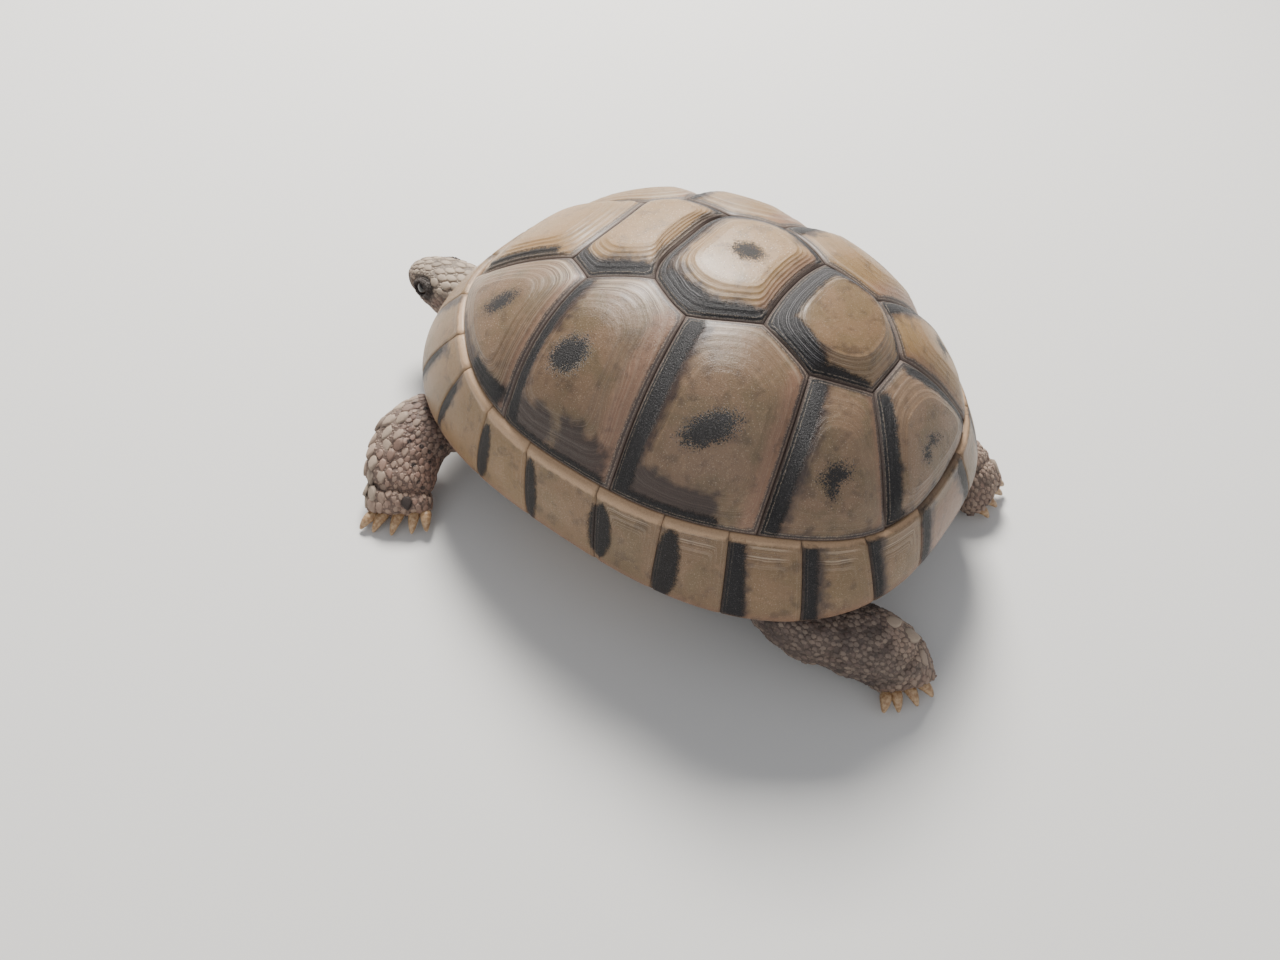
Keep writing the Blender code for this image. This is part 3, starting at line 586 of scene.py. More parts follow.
costalSpecs = [
    {"corners": ["v1v2", "v1c1", "c1c2", "v2c1c2"], "shallow": 1, "seed": 6.0, "contrast": 0.36,
     "shift": (0.02, 0.0), "umber": [(1, 0.34, 0.96, 0.0, 2.0, 4.6)], "ink": [(1, 0.66, 0.93, 0.9, 2.4, 3.2)],
     "shine": [(1, 0.0, 0.7, 0.0, 5.5), (3, 0, 1, 0, 4.0)], "crisp": 0.3, "lip": 0.03,
     "fresh": [(2, 0.0, 1.0, 0.0, 2.4)], "spots": [(-1.0, -2.0, 3.2, 1.5, 25)], "stipple": 0.5},
    {"corners": ["v2c1c2", "c1c2", "c2c3", "v3c2c3", "v2v3"], "shallow": 1, "seed": 7.0, "contrast": 0.17,
     "ink": [(0, 0.0, 1.0, 0.1, 2.6, 3.0), (1, 0.0, 0.93, 0.0, 1.6)],
     "umber": [(0, 0.0, 1.0, 0.0, 4.4, 3.6), (1, 0.0, 0.44, 0.0, 7.4, 7.0), (1, 0.5, 0.95, 0.0, 8.6, 6.4)],
     "shine": [(3, 0.3, 1, 0, 3.6), (4, 0, 1, 0, 4.2)], "crisp": 0.22, "lip": 0.03, "plain": 0.85,
     "fresh": [(2, 0.0, 1.0, 0.0, 4.6)], "spots": [(0.9, -0.6, 3.4, 2.4, 50)]},
    {"corners": ["v3c2c3", "c2c3", "c3c4", "v4c3c4", "v3v4"], "shallow": 1, "seed": 8.0, "contrast": 0.1,
     "plain": 0.85, "ink": [(0, 0.0, 1.0, 0.1, 3.6, 3.4), (1, 0.02, 0.74, 0.0, 1.9)],
     "umber": [(0, 0.0, 1.0, 0.0, 5.4, 4.6), (1, 0.0, 0.72, 0.0, 8.0, 6.0)],
     "shine": [(3, 0, 1, 0, 1.6), (4, 0, 1, 0, 1.6)], "crisp": 0.15, "lip": 0.02, "areola": 0.5,
     "fresh": [(2, 0.0, 1.0, 0.0, 3.6)], "spots": [(0.6, 0.2, 4.0, 2.1, 62)]},
    {"corners": ["v4c3c4", "c3c4", "c4v5", "v4v5"], "shallow": 1, "seed": 9.0, "contrast": 0.1,
     "ink": [(0, 0.0, 1.0, 0.1, 2.9, 2.6)], "crisp": 0.12, "lip": 0.015,
     "umber": [(0, 0.0, 1.0, 0.0, 4.2), (1, 0.06, 0.44, 0.0, 1.2), (1, 0.66, 0.96, 0.0, 1.4)],
     "fresh": [(2, 0.0, 1.0, 0.0, 2.0)], "spots": [(0.2, -0.6, 1.9, 1.2, 70), (-0.6, 0.8, 1.5, 0.8, -30)]},
]

sides = (("left", False), ("right", True))
horn = hornLook("shellHorn")
for name, corners in vertebralCorners.items():
    scute(name, carapaceRuns(corners), vertebralSpecs[name], horn)
for side, mirrored in sides:
    for i, spec in enumerate(costalSpecs):
        spec = dict(spec, yellow=0.4 if mirrored else 0.0)
        scute("costal_%s_%d" % (side, i + 1), carapaceRuns([corner[key] for key in spec["corners"]]),
              spec, horn, mirrored)
print("vertebral and costal scutes")


# Marginals.
def rollRim(place, edges, wall):
    # Turns the lower edge of a marginal in under its rim.
    inward = -unit(np.stack((place[:, 0], place[:, 1] - dome["crownY"], np.zeros(len(place))), -1))
    rounded = np.clip(1 - edges[1][0] / 1.1, 0, 1) ** 2 * ~wall
    return place + inward * (rounded * 0.7)[:, None]


def belt(height, edges):
    # The marginals make one even belt: only shallow lines part them, and a bead runs under the plates above.
    front, rim, rear, ring = (edges[i][0] for i in range(4))
    bead = 0.17 * np.exp(-((ring - 1.1) / 0.8) ** 2)
    level = 0.22 - 0.42 * np.exp(-rim / 0.9) - 0.5 * np.exp(-(ring / 0.45) ** 2) + bead
    return level + (height - height.max()) * 0.12 - 0.1 * np.exp(-np.minimum(front, rear) / 0.16)


marginalShape = {"lift": 0.42, "rings": 5, "areola": 0.3, "loops": 30, "crisp": 0.35, "lip": 0.02,
                 "curve": 0.5, "contrast": 0.12, "sink": 0.3, "rounding": 0.04, "groove": 0.14, "soft": 1.0,
                 "under": rollRim, "edit": belt}


def marginal(name, front, rear, spec, mirrored=False):
    places = [(front[0], ringReach(front[0])), (front[1], 1.0), (rear[1], 1.0), (rear[0], ringReach(rear[0]))]
    scute(name, carapaceRuns(places), {**marginalShape, **spec}, horn, mirrored)


# Dark mark behind each front suture, as a band or as a spindle.
marginalInk = {
    1: {"umber": [(0, 0.05, 0.9, 0.3, 1.6)]}, 2: {"umber": [(0, 0.0, 0.85, 0.3, 2.2, 0.8)]},
    3: {"lens": [(0, 0.3, 1.0, 0.7, 1.0)], "umber": [(0, 0.2, 1.0, 0.0, 2.6)]},
    4: {"lens": [(0, 0.22, 0.9, 0.7, 1.15)], "umber": [(0, 0.15, 0.95, 0.0, 2.0)]},
    5: {"lens": [(0, 0.18, 0.94, 1.15, 1.75)]},
    6: {"lens": [(0, 0.14, 0.98, 1.05, 1.55), (2, 0.16, 0.82, 0.0, 1.0)]},
    7: {"lens": [(0, 0.16, 0.88, 1.15, 2.15)]},
    8: {"lens": [(0, 0.08, 1.06, 1.9, 2.25)]},
    9: {"ink": [(0, 0.08, 0.93, 0.2, 2.3, 3.5)], "umber": [(0, 0.05, 0.95, 0.0, 3.4, 4.4)]},
    10: {"ink": [(0, 0.06, 0.94, 0.3, 2.0, 2.0)], "umber": [(0, 0.04, 0.96, 0.0, 3.8, 3.8)]},
    11: {"ink": [(0, 0.04, 0.9, 0.3, 1.8, 1.3)], "umber": [(0, 0.02, 0.95, 0.0, 3.4, 2.6)]},
}
stripWidth = (0.0, 0.4, 1.2, 1.7, 2.1, 2.1, 1.9, 1.7, 1.3, 1.0, 0.6, 0.6)
# How yellow each marginal is, front to rear; the low values on the seventh and eighth paint shade where the
# belt falls away from the light.
marginalYellowAndShade = (0.22, 0.2, 0.3, 0.34, 0.3, 0.16, 0.08, 0.08, 0.14, 0.14, 0.14)
for side, mirrored in sides:
    for i in range(11):
        spec = {"seed": 20.0 + i, "yellow": 0.45 if mirrored and 1 <= i <= 6 else marginalYellowAndShade[i],
                "strip": [(3, 0.0, 1.0, 0.0, stripWidth[i + 1], stripWidth[i])], "fresh": [(1, 0, 1, 0, 2.0)],
                "shine": [(3, 0.22, 0.78, 1.6, 3.0)] if i >= 6 else [], "contrast": 0.05}
        marginal("marginal_%s_%d" % (side, i + 1), sutures[i], sutures[i + 1],
                 {**spec, **marginalInk[i + 1]}, mirrored)
ring, rim = sutures[0]
marginal("nuchal", (-ring, -rim), (ring, rim), {"seed": 40.0, "yellow": 0.3})
ring, rim = sutures[-1]
marginal("supracaudal", (ring, rim), (360 - ring, 360 - rim), {
    "seed": 41.0, "yellow": 0.1, "fresh": [(1, 0, 1, 0, 9.0)],
    "umber": [(0, 0.05, 0.9, 0.2, 4.0), (2, 0.1, 0.95, 0.2, 4.0)],
    "ink": [(0, 0.05, 0.9, 0.5, 2.2), (2, 0.1, 0.95, 0.5, 2.2)]})
print("marginal scutes")

# Plastron, flat under the belly, with bridges that rise to the marginals.
plastron = {"seams": (-47.0, -38.5, -25.0, -16.5, 15.5, 28.0, 42.5), "bridges": (-21.0, 22.0), "under": 6.0}


def plastronPoints(flat):
    # (k, v): k runs across from the midline to the side edge at 1, v is the length in units of 50 mm.
    k, y = flat[:, 0], flat[:, 1] * 50
    front, rear = plastron["bridges"]
    ahead = np.clip((y - plastron["seams"][0]) / (front - plastron["seams"][0]), 0, 1)
    behind = np.clip((plastron["seams"][-1] - y) / (plastron["seams"][-1] - rear), 0, 1)
    half = np.where(y < front, 9 + 15.5 * ahead ** 0.75, np.where(y > rear, 9 + 14 * behind ** 0.75, 26.0))
    rise = smoothStep(y, front - 1, front + 4) * (1 - smoothStep(y, rear - 4, rear + 1))
    c = np.minimum(np.abs(y) / np.where(y < 0, dome["frontHalf"], dome["rearHalf"]), 1)
    c = c ** (1 / dome["endSquare"])
    rim = dome["width"] / 2 * (1 - c * c) ** (dome["sideSquare"] / 2)
    rim = rim * (1 + dome["egg"] * y / dome["frontHalf"])
    g = np.clip((np.abs(k) - 0.8) / 0.2, 0, 1)
    outer = half + rise * (rim - 2.9 - half)
    x = np.where(g > 0, half * 0.8 + g * (outer - half * 0.8), np.abs(k) * half)
    notch = 4.0 * smoothStep(y, 36, 42.5) * np.clip(1 - np.abs(k) / 0.45, 0, 1)
    return np.stack((np.sign(k) * x, y - notch, plastron["under"] + rise * 8.2 * g ** 1.4), -1)


def plastronNormals(flat):
    k = np.clip(flat[:, :1], 0.02, 0.98)
    flat = np.concatenate((k, flat[:, 1:]), 1)
    across = plastronPoints(flat + (0.01, 0)) - plastronPoints(flat - (0.01, 0))
    along = plastronPoints(flat + (0, 0.01)) - plastronPoints(flat - (0, 0.01))
    return unit(np.cross(along, across))


plastronInk = {
    "gular": (0.0, 1.5, 2.6, 1.8, 0), "humeral": (-1.0, 4.0, 5.0, 3.6, 20),
    "pectoral": (0.0, 5.0, 8.5, 1.6, 90), "abdominal": (1.0, 3.0, 8.5, 5.5, 70),
    "femoral": (0.0, 2.5, 4.5, 3.2, 0), "anal": (1.0, 1.5, 3.4, 2.4, 10),
}
for i, (part, blotch) in enumerate(plastronInk.items()):
    front, rear = (plastron["seams"][i] + 0.03) / 50, (plastron["seams"][i + 1] - 0.03) / 50
    flat = [(0.004, front), (0.004, rear), (1.0, rear), (1.0, front)]
    runs = []
    for a, b in zip(flat, flat[1:] + flat[:1]):
        runs.append([(a[0] + (b[0] - a[0]) * f, a[1] + (b[1] - a[1]) * f) for f in np.linspace(0, 1, 22)])
    along, across, long, short, turn = blotch
    spec = {"node": "plastron_" + part, "lift": 0.0, "rings": 5, "crisp": 0.3, "seed": 50.0 + i, "loops": 20,
            "spots": [blotch, (along - 0.5 * long, across + 0.7 * short, 0.8 * long, 0.6 * short, turn + 55)],
            "ragged": 2.2, "yellow": 0.55, "contrast": 0.3, "areola": 0.3, "lip": 0.0, "curve": 0.3}
    for side, mirrored in sides:
        scute("plastron_%s_%s" % (part, side), runs, spec, horn, mirrored,
              (plastronPoints, plastronNormals))
print("plastron")


# The limbs, the neck, the head and the tail are tubes.
class Tube:
    # A smooth tube through sections (x, y, z, half width, half thickness), 0 at its root and 1 at its end.
    def __init__(self, sections, side, square=1.0):
        rows = np.array(sections, float)
        n = len(rows) - 1
        # A smooth curve through every section, in twelve steps from one to the next.
        t = np.linspace(0, n, 12 * n + 1)
        i = np.minimum(t.astype(int), n - 1)
        f = (t - i)[:, None]
        a, b, c, d = (rows[np.clip(i + k, 0, n)] for k in (-1, 0, 1, 2))
        rows = (2 * b + (c - a) * f + (2 * a - 5 * b + 4 * c - d) * f ** 2 +
                (3 * b - a - 3 * c + d) * f ** 3) / 2
        along = unit(np.gradient(rows[:, :3], axis=0))
        across = unit(side - along * (along @ np.array(side, float))[:, None])
        self.table = np.concatenate((rows, along, across, np.cross(along, across)), 1)
        self.square = square

    def at(self, t):
        where = np.clip(t, 0, 1) * (len(self.table) - 1)
        i = np.minimum(where.astype(int), len(self.table) - 2)
        row = self.table[i] + (self.table[i + 1] - self.table[i]) * (where - i)[:, None]
        return row[:, :3], row[:, 3], row[:, 4], row[:, 5:8], row[:, 8:11], row[:, 11:14]

    def surface(self, t, angle, grow=1.0):
        centre, wide, thick, along, across, up = self.at(t)
        c, s = np.cos(angle), np.sin(angle)
        c, s = (np.sign(v) * np.abs(v) ** self.square for v in (c, s))
        return centre + across * (wide * c * grow)[:, None] + up * (thick * s * grow)[:, None]

    def locate(self, points):
        # How far along each point lies, its angle round the tube and its reach (1 on the surface).
        away = ((points[:, None] - self.table[None, :, :3]) ** 2).sum(2)
        t = away.argmin(1) / (len(self.table) - 1)
        centre, wide, thick, along, across, up = self.at(t)
        offset = points - centre
        x, y = (offset * across).sum(1) / wide, (offset * up).sum(1) / thick
        overshoot = np.abs((offset * along).sum(1)) / np.minimum(wide, thick)
        return t, np.arctan2(y, x), np.sqrt(x * x + y * y + overshoot ** 2)

    def spot(self, t, direction):
        # The point of the surface at t that faces a direction.
        points = self.surface(np.full(72, t), np.linspace(0, 2 * pi, 73)[:-1])
        return points[((points - self.at(np.array([t]))[0]) @ np.array(direction, float)).argmax()]

    def build(self, bm, segments, rows, grow=1.0, roundFrom=0.94):
        made = bmesh.ops.create_grid(bm, x_segments=segments, y_segments=rows, size=1)["verts"]
        flat = np.array([vert.co[:2] for vert in made])
        t = (flat[:, 1] + 1) / 2
        ending = np.sqrt(np.clip(1 - (np.clip(t - roundFrom, 0, 1) / (1.0001 - roundFrom)) ** 2, 0.02, 1))
        moveVerts(made, self.surface(t, (flat[:, 0] + 1) * pi, grow * ending))
        bmesh.ops.remove_doubles(bm, verts=made, dist=1e-4)
        bmesh.ops.holes_fill(bm, edges=[edge for edge in bm.edges if edge.is_boundary])


headShape = {"back": (1.3, -50.2, 16.6), "nose": (3.2, -68.6, 17.6), "length": 18.6}
headAlong = unit(np.subtract(headShape["nose"], headShape["back"]))
headLeft = unit(np.cross((0, 0, 1), headAlong))
headUp = np.cross(headAlong, headLeft)
headProfile = [
    (0.0, 5.0, 4.3, -4.5), (0.1, 6.0, 4.9, -5.1), (0.26, 6.7, 5.4, -5.6), (0.42, 6.8, 5.6, -5.5),
    (0.56, 6.4, 5.5, -5.0), (0.7, 5.5, 5.0, -4.4), (0.82, 4.5, 4.1, -3.9), (0.92, 3.5, 3.0, -3.4),
    (1.0, 2.3, 1.7, -2.6),
]
tubes = {
    "foreleg_left": Tube(
        [(14, -25, 15, 6.2, 4.7), (20, -30, 14.6, 6.8, 4.7), (26, -35.5, 12.4, 7.2, 4.6),
         (32, -39.5, 10.8, 7.6, 4.8), (38, -39.5, 8.4, 7.6, 5.0), (43, -36.5, 4.8, 7.2, 4.4),
         (46.5, -33.8, 2.3, 6.4, 3.0)], (0.45, -0.9, 0)),
    "foreleg_right": Tube(
        [(-14, -22, 15, 6.0, 4.6), (-19, -27, 14.6, 6.4, 4.6), (-24.5, -33, 13.2, 6.8, 4.6),
         (-29, -40, 11.0, 7.1, 4.6), (-32, -47, 7.4, 7.2, 4.7), (-33.5, -52, 4.2, 6.8, 4.2),
         (-34.2, -56, 2.0, 6.0, 2.9)], (-1, 0, 0)),
    "hindleg_left": Tube(
        [(14, 19, 16, 6.6, 5.0), (20, 26, 15.2, 7.0, 5.1), (25, 33.5, 13.8, 7.2, 5.4),
         (26.5, 41.5, 12.0, 7.2, 5.8), (23.5, 49.5, 10.6, 7.0, 6.3), (20.3, 55, 7.2, 6.8, 6.0),
         (19.6, 58.4, 4.0, 6.4, 5.0), (21, 60.8, 2.2, 5.8, 3.0)], (0.8, -0.5, 0)),
    "hindleg_right": Tube(
        [(-14, 19, 16, 6.6, 5.0), (-20.5, 26, 15.0, 6.9, 5.1), (-26, 33, 13.0, 7.1, 5.4),
         (-28.5, 40, 10.8, 7.1, 5.6), (-28.5, 46, 8.2, 6.9, 5.6), (-28, 51, 4.9, 6.6, 5.2),
         (-28.3, 54, 2.2, 6.0, 3.4)], (-1, 0.1, 0)),
    "neck": Tube([(0, -26, 15.2, 5.6, 4.8), (0.2, -34, 15.8, 5.5, 4.8), (0.6, -43, 16.15, 5.4, 4.8),
                  (1.3, -49.7, 16.5, 5.1, 4.4), (1.7, -53.5, 16.7, 5.2, 4.4)], (1, 0, 0)),
    "head": Tube([(*(np.array(headShape["back"]) + headAlong * headShape["length"] * f +
                     headUp * (top + under) / 2), wide, (top - under) / 2)
                  for f, wide, top, under in headProfile], headLeft, 0.85),
    "tail": Tube([(0, 24, 14.5, 4.8, 4.2), (-0.5, 32, 14.2, 4.4, 4.0), (-1.2, 39.5, 13, 3.7, 3.4),
                  (-2.2, 45.5, 11.4, 2.6, 2.4), (-3.2, 50, 9.8, 1.0, 0.9)], (1, 0, 0)),
}
zoneNames = list(tubes) + ["trunk"]
foreLeft, foreRight, hindLeft, hindRight, neck, head, tail, trunk = range(8)

skinShape = {"voxel": 0.475, "inset": 0.955, "trunkInset": 0.35, "sole": 0.1,
             "hiddenReach": 0.62, "hiddenHeight": 24, "hiddenKept": 0.06}


def meshArrays(mesh):
    place, normal = np.empty((2, len(mesh.vertices) * 3), np.float32)
    mesh.vertices.foreach_get("co", place)
    mesh.vertex_normals.foreach_get("vector", normal)
    return place.reshape(-1, 3).astype(float), normal.reshape(-1, 3).astype(float)


def evaluated(mesh, build):
    # The mesh after the modifiers that build adds to a passing object.
    passing = link("passing", mesh)
    build(passing)
    graph = bpy.context.evaluated_depsgraph_get()
    made = bpy.data.meshes.new_from_object(passing.evaluated_get(graph))
    bpy.data.objects.remove(passing)
    return made


def zonesOf(points):
    # Which tube each point belongs to, with its place along and round it.
    best = np.full(len(points), 1.9)
    zone = np.full(len(points), trunk)
    t, angle = np.zeros(len(points)), np.zeros(len(points))
    for i, tube in enumerate(tubes.values()):
        along, turn, reach = tube.locate(points)
        closer = reach < best
        best, zone = np.where(closer, reach, best), np.where(closer, i, zone)
        t, angle = np.where(closer, along, t), np.where(closer, turn, angle)
    return zone, t, angle


def outsideShell(points):
    # 0 well under the shell, 1 at the rim and beyond it.
    bearing = np.arctan2(points[:, 0], -points[:, 1])
    rim = rimPoints(bearing)
    return np.hypot(points[:, 0], points[:, 1]) / np.hypot(rim[:, 0], rim[:, 1])


bm = bmesh.new()
for name, tube in tubes.items():
    tube.build(bm, 40, 70, skinShape["inset"], roundFrom=0.95 if "leg" in name else 0.97)
for y in (-21, 21):
    # The soft flesh that fills the shell between the limbs.
    bmesh.ops.create_icosphere(bm, subdivisions=4, radius=1, matrix=Matrix.Translation((0, y, 14.5)) @
                               Matrix.Diagonal((32, 20.5, 8.2, 1)))
core = bmesh.new()
core.from_mesh(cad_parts["trunk"].data)
bmesh.ops.remove_doubles(core, verts=core.verts, dist=1e-6)
moveVerts(core.verts, [np.array(vert.co) * 1000 + boxMiddle for vert in core.verts])
core.normal_update()
moveVerts(core.verts, [vert.co - vert.normal * skinShape["trunkInset"] for vert in core.verts])
passing = bpy.data.meshes.new("passing")
core.to_mesh(passing)
core.free()
bm.from_mesh(passing)
bmesh.ops.recalc_face_normals(bm, faces=bm.faces)
bm.to_mesh(passing)
bm.free()


def weld(piece):
    welding = piece.modifiers.new("weld", "REMESH")
    welding.mode, welding.voxel_size = "VOXEL", skinShape["voxel"]


skin = evaluated(passing, weld)
place, normal = meshArrays(skin)
zone, t, angle = zonesOf(place)
hidden = (zone == trunk) & (place[:, 2] > skinShape["hiddenHeight"])
hidden |= outsideShell(place) < skinShape["hiddenReach"]


def thin(piece):
    group = piece.vertex_groups.new(name="hidden")
    group.add(np.flatnonzero(hidden).tolist(), 1.0, "REPLACE")
    modifier = piece.modifiers.new("thin", "DECIMATE")
    modifier.vertex_group, modifier.vertex_group_factor = "hidden", 10.0
    modifier.ratio = 1 - (1 - skinShape["hiddenKept"]) * hidden.mean()


skin = evaluated(skin, thin)
bm = bmesh.new()
bm.from_mesh(skin)
headVerts = {v for v in bm.verts if v.co.y < -51.5 and v.co.z > 8 and abs(v.co.x - 2.2) < 9}
edges = [e for e in bm.edges if headVerts.issuperset(e.verts)]
for _ in range(3):
    bmesh.ops.smooth_vert(bm, verts=bm.verts, factor=0.5, use_axis_x=True, use_axis_y=True, use_axis_z=True)
bmesh.ops.subdivide_edges(bm, edges=edges, cuts=1, use_grid_fill=True, smooth=0.0)
bmesh.ops.triangulate(bm, faces=[f for f in bm.faces if len(f.verts) > 4])
bm.to_mesh(skin)
bm.free()
place, normal = meshArrays(skin)
zone, t, angle = zonesOf(place)
print("skin welded: %d faces" % len(skin.polygons))


# Folds and the shape of the head.
eyeShape = {"along": 0.66, "side": 3.75, "up": 1.35, "radius": 2.05, "open": (1.68, 1.12),
            "forward": 0.28, "lift": 0.2}


def headFrame(points):
    offset = points - np.array(headShape["back"])
    return (offset @ headAlong) / headShape["length"], offset @ headLeft, offset @ headUp


def eyeAxes(sign):
    # Centre of an eyeball, the way it looks, and the two directions across its opening.
    centre = (np.array(headShape["back"]) + headAlong * headShape["length"] * eyeShape["along"] +
              headLeft * sign * eyeShape["side"] + headUp * eyeShape["up"])
    look = unit(headLeft * sign + headAlong * eyeShape["forward"] + headUp * eyeShape["lift"])
    ahead = unit(headAlong - look * (headAlong @ look))
    return centre, look, ahead, np.cross(ahead, look) * -sign


def sculptHead(place):
    # Height to add along the normal, and a direct shift, for points of the head.
    f, side, up = headFrame(place)
    isHead = (f > -0.05) & (np.abs(side) < 9) & (up > -8)
    push = np.zeros(len(place))
    shift = np.zeros_like(place)
    for sign in (-1, 1):
        centre, look, ahead, above = eyeAxes(sign)
        offset = place - centre
        outward = offset @ look
        a, b = offset @ ahead, offset @ above
        # The opening is an almond, lower at its front corner.
        r = np.hypot(a / eyeShape["open"][0], (b - 0.12 * a) / eyeShape["open"][1])
        near = isHead & (outward > 0.2) & (r < 3.2)
        lid = np.exp(-((r - 1.3) / 0.25) ** 2) * 0.62
        groove = -np.exp(-((r - 1.95) / 0.26) ** 2) * 0.26
        sink = -(1 - smoothStep(r, 0.8, 1.04)) * 2.4
        brow = np.exp(-((b - 2.4) / 0.9) ** 2 - (a / 2.6) ** 2) * 0.35
        shift += np.where(near, lid + groove + sink + brow, 0)[:, None] * look
    # The horny edges of the jaws meet in a line that turns up under the eye.
    mouth = -1.75 - 0.5 * np.exp(-((f - 0.95) / 0.06) ** 2) + 0.9 * smoothStep(f, 0.62, 0.48)
    line = np.exp(-((up - mouth) / 0.22) ** 2) * smoothStep(f, 0.44, 0.52)
    jaw = np.exp(-((up - mouth + 1.1) / 0.8) ** 2) * smoothStep(f, 0.42, 0.6)
    beak = smoothStep(f, 0.8, 0.93) * (up > mouth)
    push += np.where(isHead, -0.42 * line - 0.18 * jaw + 0.1 * beak, 0)
    for sign in (-1, 1):
        nostril = np.hypot(side - sign * 0.85, up - 0.55) / 0.34
        nostril = 0.12 * np.exp(-((nostril - 2) / 0.7) ** 2) - 0.55 * np.exp(-nostril ** 2)
        push += np.where(isHead & (f > 0.9), nostril, 0)
        # Eardrum behind the jaw.
        drum = np.hypot((f - 0.22) * headShape["length"] / 1.9, (up + 0.9) / 2.1)
        drum = 0.16 * np.exp(-((drum - 1.2) / 0.16) ** 2) - 0.28 * (1 - smoothStep(drum, 0.8, 1.05))
        push += np.where(isHead & (side * sign > 3.5), drum, 0)
    crease = np.exp(-((f - 0.09 + 0.012 * up) / 0.035) ** 2)
    push -= np.where(isHead, crease * 0.35, 0)
    return push, shift, line * isHead


push, shift, mouthLine = sculptHead(place)
isLeg = zone < neck
fold = roughness(place, 0.16, 3.0) * 0.55 + roughness(place * (1, 1, 1.6), 0.42, 9.0) * 0.28
fine = roughness(place, 1.3, 17.0) * 0.1
lengthwise = np.array([58.0, 58.0, 62.0, 60.0, 28.0, 18.6, 27.0, 60.0])[zone] * t
rings = np.sin(lengthwise * 2.4 + roughness(place, 0.2, 21.0) * 3.5)
neckFold = rings * 0.32 * (zone == neck) + rings * 0.1 * isLeg * smoothStep(t, 0.9, 0.6)
onHead = np.clip((headFrame(place)[0] + 0.02) / 0.1, 0, 1) * (zone == head)
push += (fold - 0.35) * (1 - onHead) * np.where(zone == trunk, 0.8, 1.0)
push += fine * (1 - 0.6 * onHead) + neckFold
# Creases at the elbow, the wrist and the ankle.
creases = ((foreLeft, 0.42, 0.5), (foreLeft, 0.81, 0.9), (foreRight, 0.45, 0.5), (foreRight, 0.78, 0.6),
           (hindLeft, 0.5, 0.5), (hindLeft, 0.74, 0.5), (hindRight, 0.48, 0.5), (hindRight, 0.75, 0.5))
for limb, at, depth in creases:
    slant = 0.055 * (normal @ np.array((0.45, 0.85, 0.2))) * (limb == foreLeft and at > 0.7)
    across = (t - at - slant) * 60 / 1.1 + roughness(place, 0.3, limb) * 0.8
    push -= (zone == limb) * depth * np.exp(-across ** 2)
push = np.clip(push, -1.1, 0.3)
place = place + normal * push[:, None] + shift
place[:, 2] = np.maximum(place[:, 2], skinShape["sole"])
skin.vertices.foreach_set("co", place.astype(np.float32).ravel())
skin.update()
place, normal = meshArrays(skin)
print("skin folded")


# Markings, the same for skin and scales; the head and neck also get light painted on their tops.
def markings(place, normal):
    zone, t, angle = zonesOf(place)
    f, side, up = headFrame(place)
    patch = roughness(place, 0.12, 31.0) * 0.5 + roughness(place, 0.35, 37.0) * 0.3
    pale = 0.25 + patch * 0.3
    warm = 0.5 + patch * 0.5
    dark = np.clip(roughness(place, 0.55, 41.0) * 1.6 - 0.35, 0, 1)
    fore, hind = zone < hindLeft, (zone == hindLeft) | (zone == hindRight)
    warm = np.where(fore, 0.4 + 0.6 * smoothStep(t, 0.35, 0.8) + patch * 0.3, warm)
    warm = np.where(zone == hindLeft, 0.18 + 0.45 * smoothStep(t, 0.7, 0.9) + patch * 0.3, warm)
    warm = np.where(zone == hindRight, 0.65 + patch * 0.3, warm)
    forward = np.where(place[:, 0] > 0, 0.5, -0.5) * normal[:, 0] - 0.86 * normal[:, 1] + 0.1 * normal[:, 2]
    edge = smoothStep(forward, 0.1, 0.6)
    pale = np.where(fore, 0.12 + 0.26 * edge + 0.16 * smoothStep(t, 0.7, 0.92) + patch * 0.22, pale)
    pale = np.where(hind, 0.2 + 0.18 * smoothStep(t, 0.62, 0.85) + patch * 0.25, pale)
    pale = np.where(zone == hindRight, 0.3 + patch * 0.3, pale)
    # Head and neck paler on top: partly their own pale crown, partly painted light from above.
    top = smoothStep(up, 0.5, 3.8)
    pale = np.where(zone == head, 0.2 + 0.65 * top + patch * 0.15, pale)
    pale = np.where(zone == neck, 0.45 + 0.25 * top + patch * 0.2, pale)
    warm = np.where(zone == head, 0.35 + 0.2 * (1 - top) + patch * 0.2, warm)
    for sign in (-1, 1):
        centre, look, ahead, above = eyeAxes(sign)
        offset = place - centre
        near = np.hypot((offset @ ahead + 0.4) / 3.0, (offset @ above + 0.2) / 2.2)
        ring = 1.2 * (1 - smoothStep(near, 0.75, 1.4))
        dark = np.maximum(dark, np.where((zone == head) & (offset @ look > -1), ring, 0))
    dark = np.where(zone == head, dark * 0.9, dark * 0.7)
    # A dark scale on the left hand and a pale left heel.
    hand = tubes["foreleg_left"].spot(0.93, (0.4, 0.4, 0.75))
    dark = np.maximum(dark, 1.4 - 1.4 * smoothStep(np.linalg.norm(place - hand, axis=1), 0.9, 1.3))
    heel = tubes["hindleg_left"].spot(0.69, (-0.35, 0.45, 0.8))
    onHeel = 1 - smoothStep(np.linalg.norm(place - heel, axis=1), 2.5, 7.0)
    pale, warm, dark = pale + 0.3 * onHeel, warm + 0.75 * onHeel, dark * (1 - onHeel)
    return {"pale": np.clip(pale, 0, 1), "warm": np.clip(warm, 0, 1), "dark": np.clip(dark, 0, 1),
            "beak": (zone == head) * smoothStep(f, 0.8, 0.9) * (up < 1.4),
            "dots": fore * smoothStep(t, 0.95, 0.8) * (1 - edge)}


skinColours = {
    "grey": (0.078, 0.058, 0.051), "rose": (0.245, 0.145, 0.108), "cream": (0.36, 0.285, 0.215),
    "dark": (0.014, 0.011, 0.011), "crease": (0.04, 0.028, 0.024), "horn": (0.13, 0.085, 0.05),
}


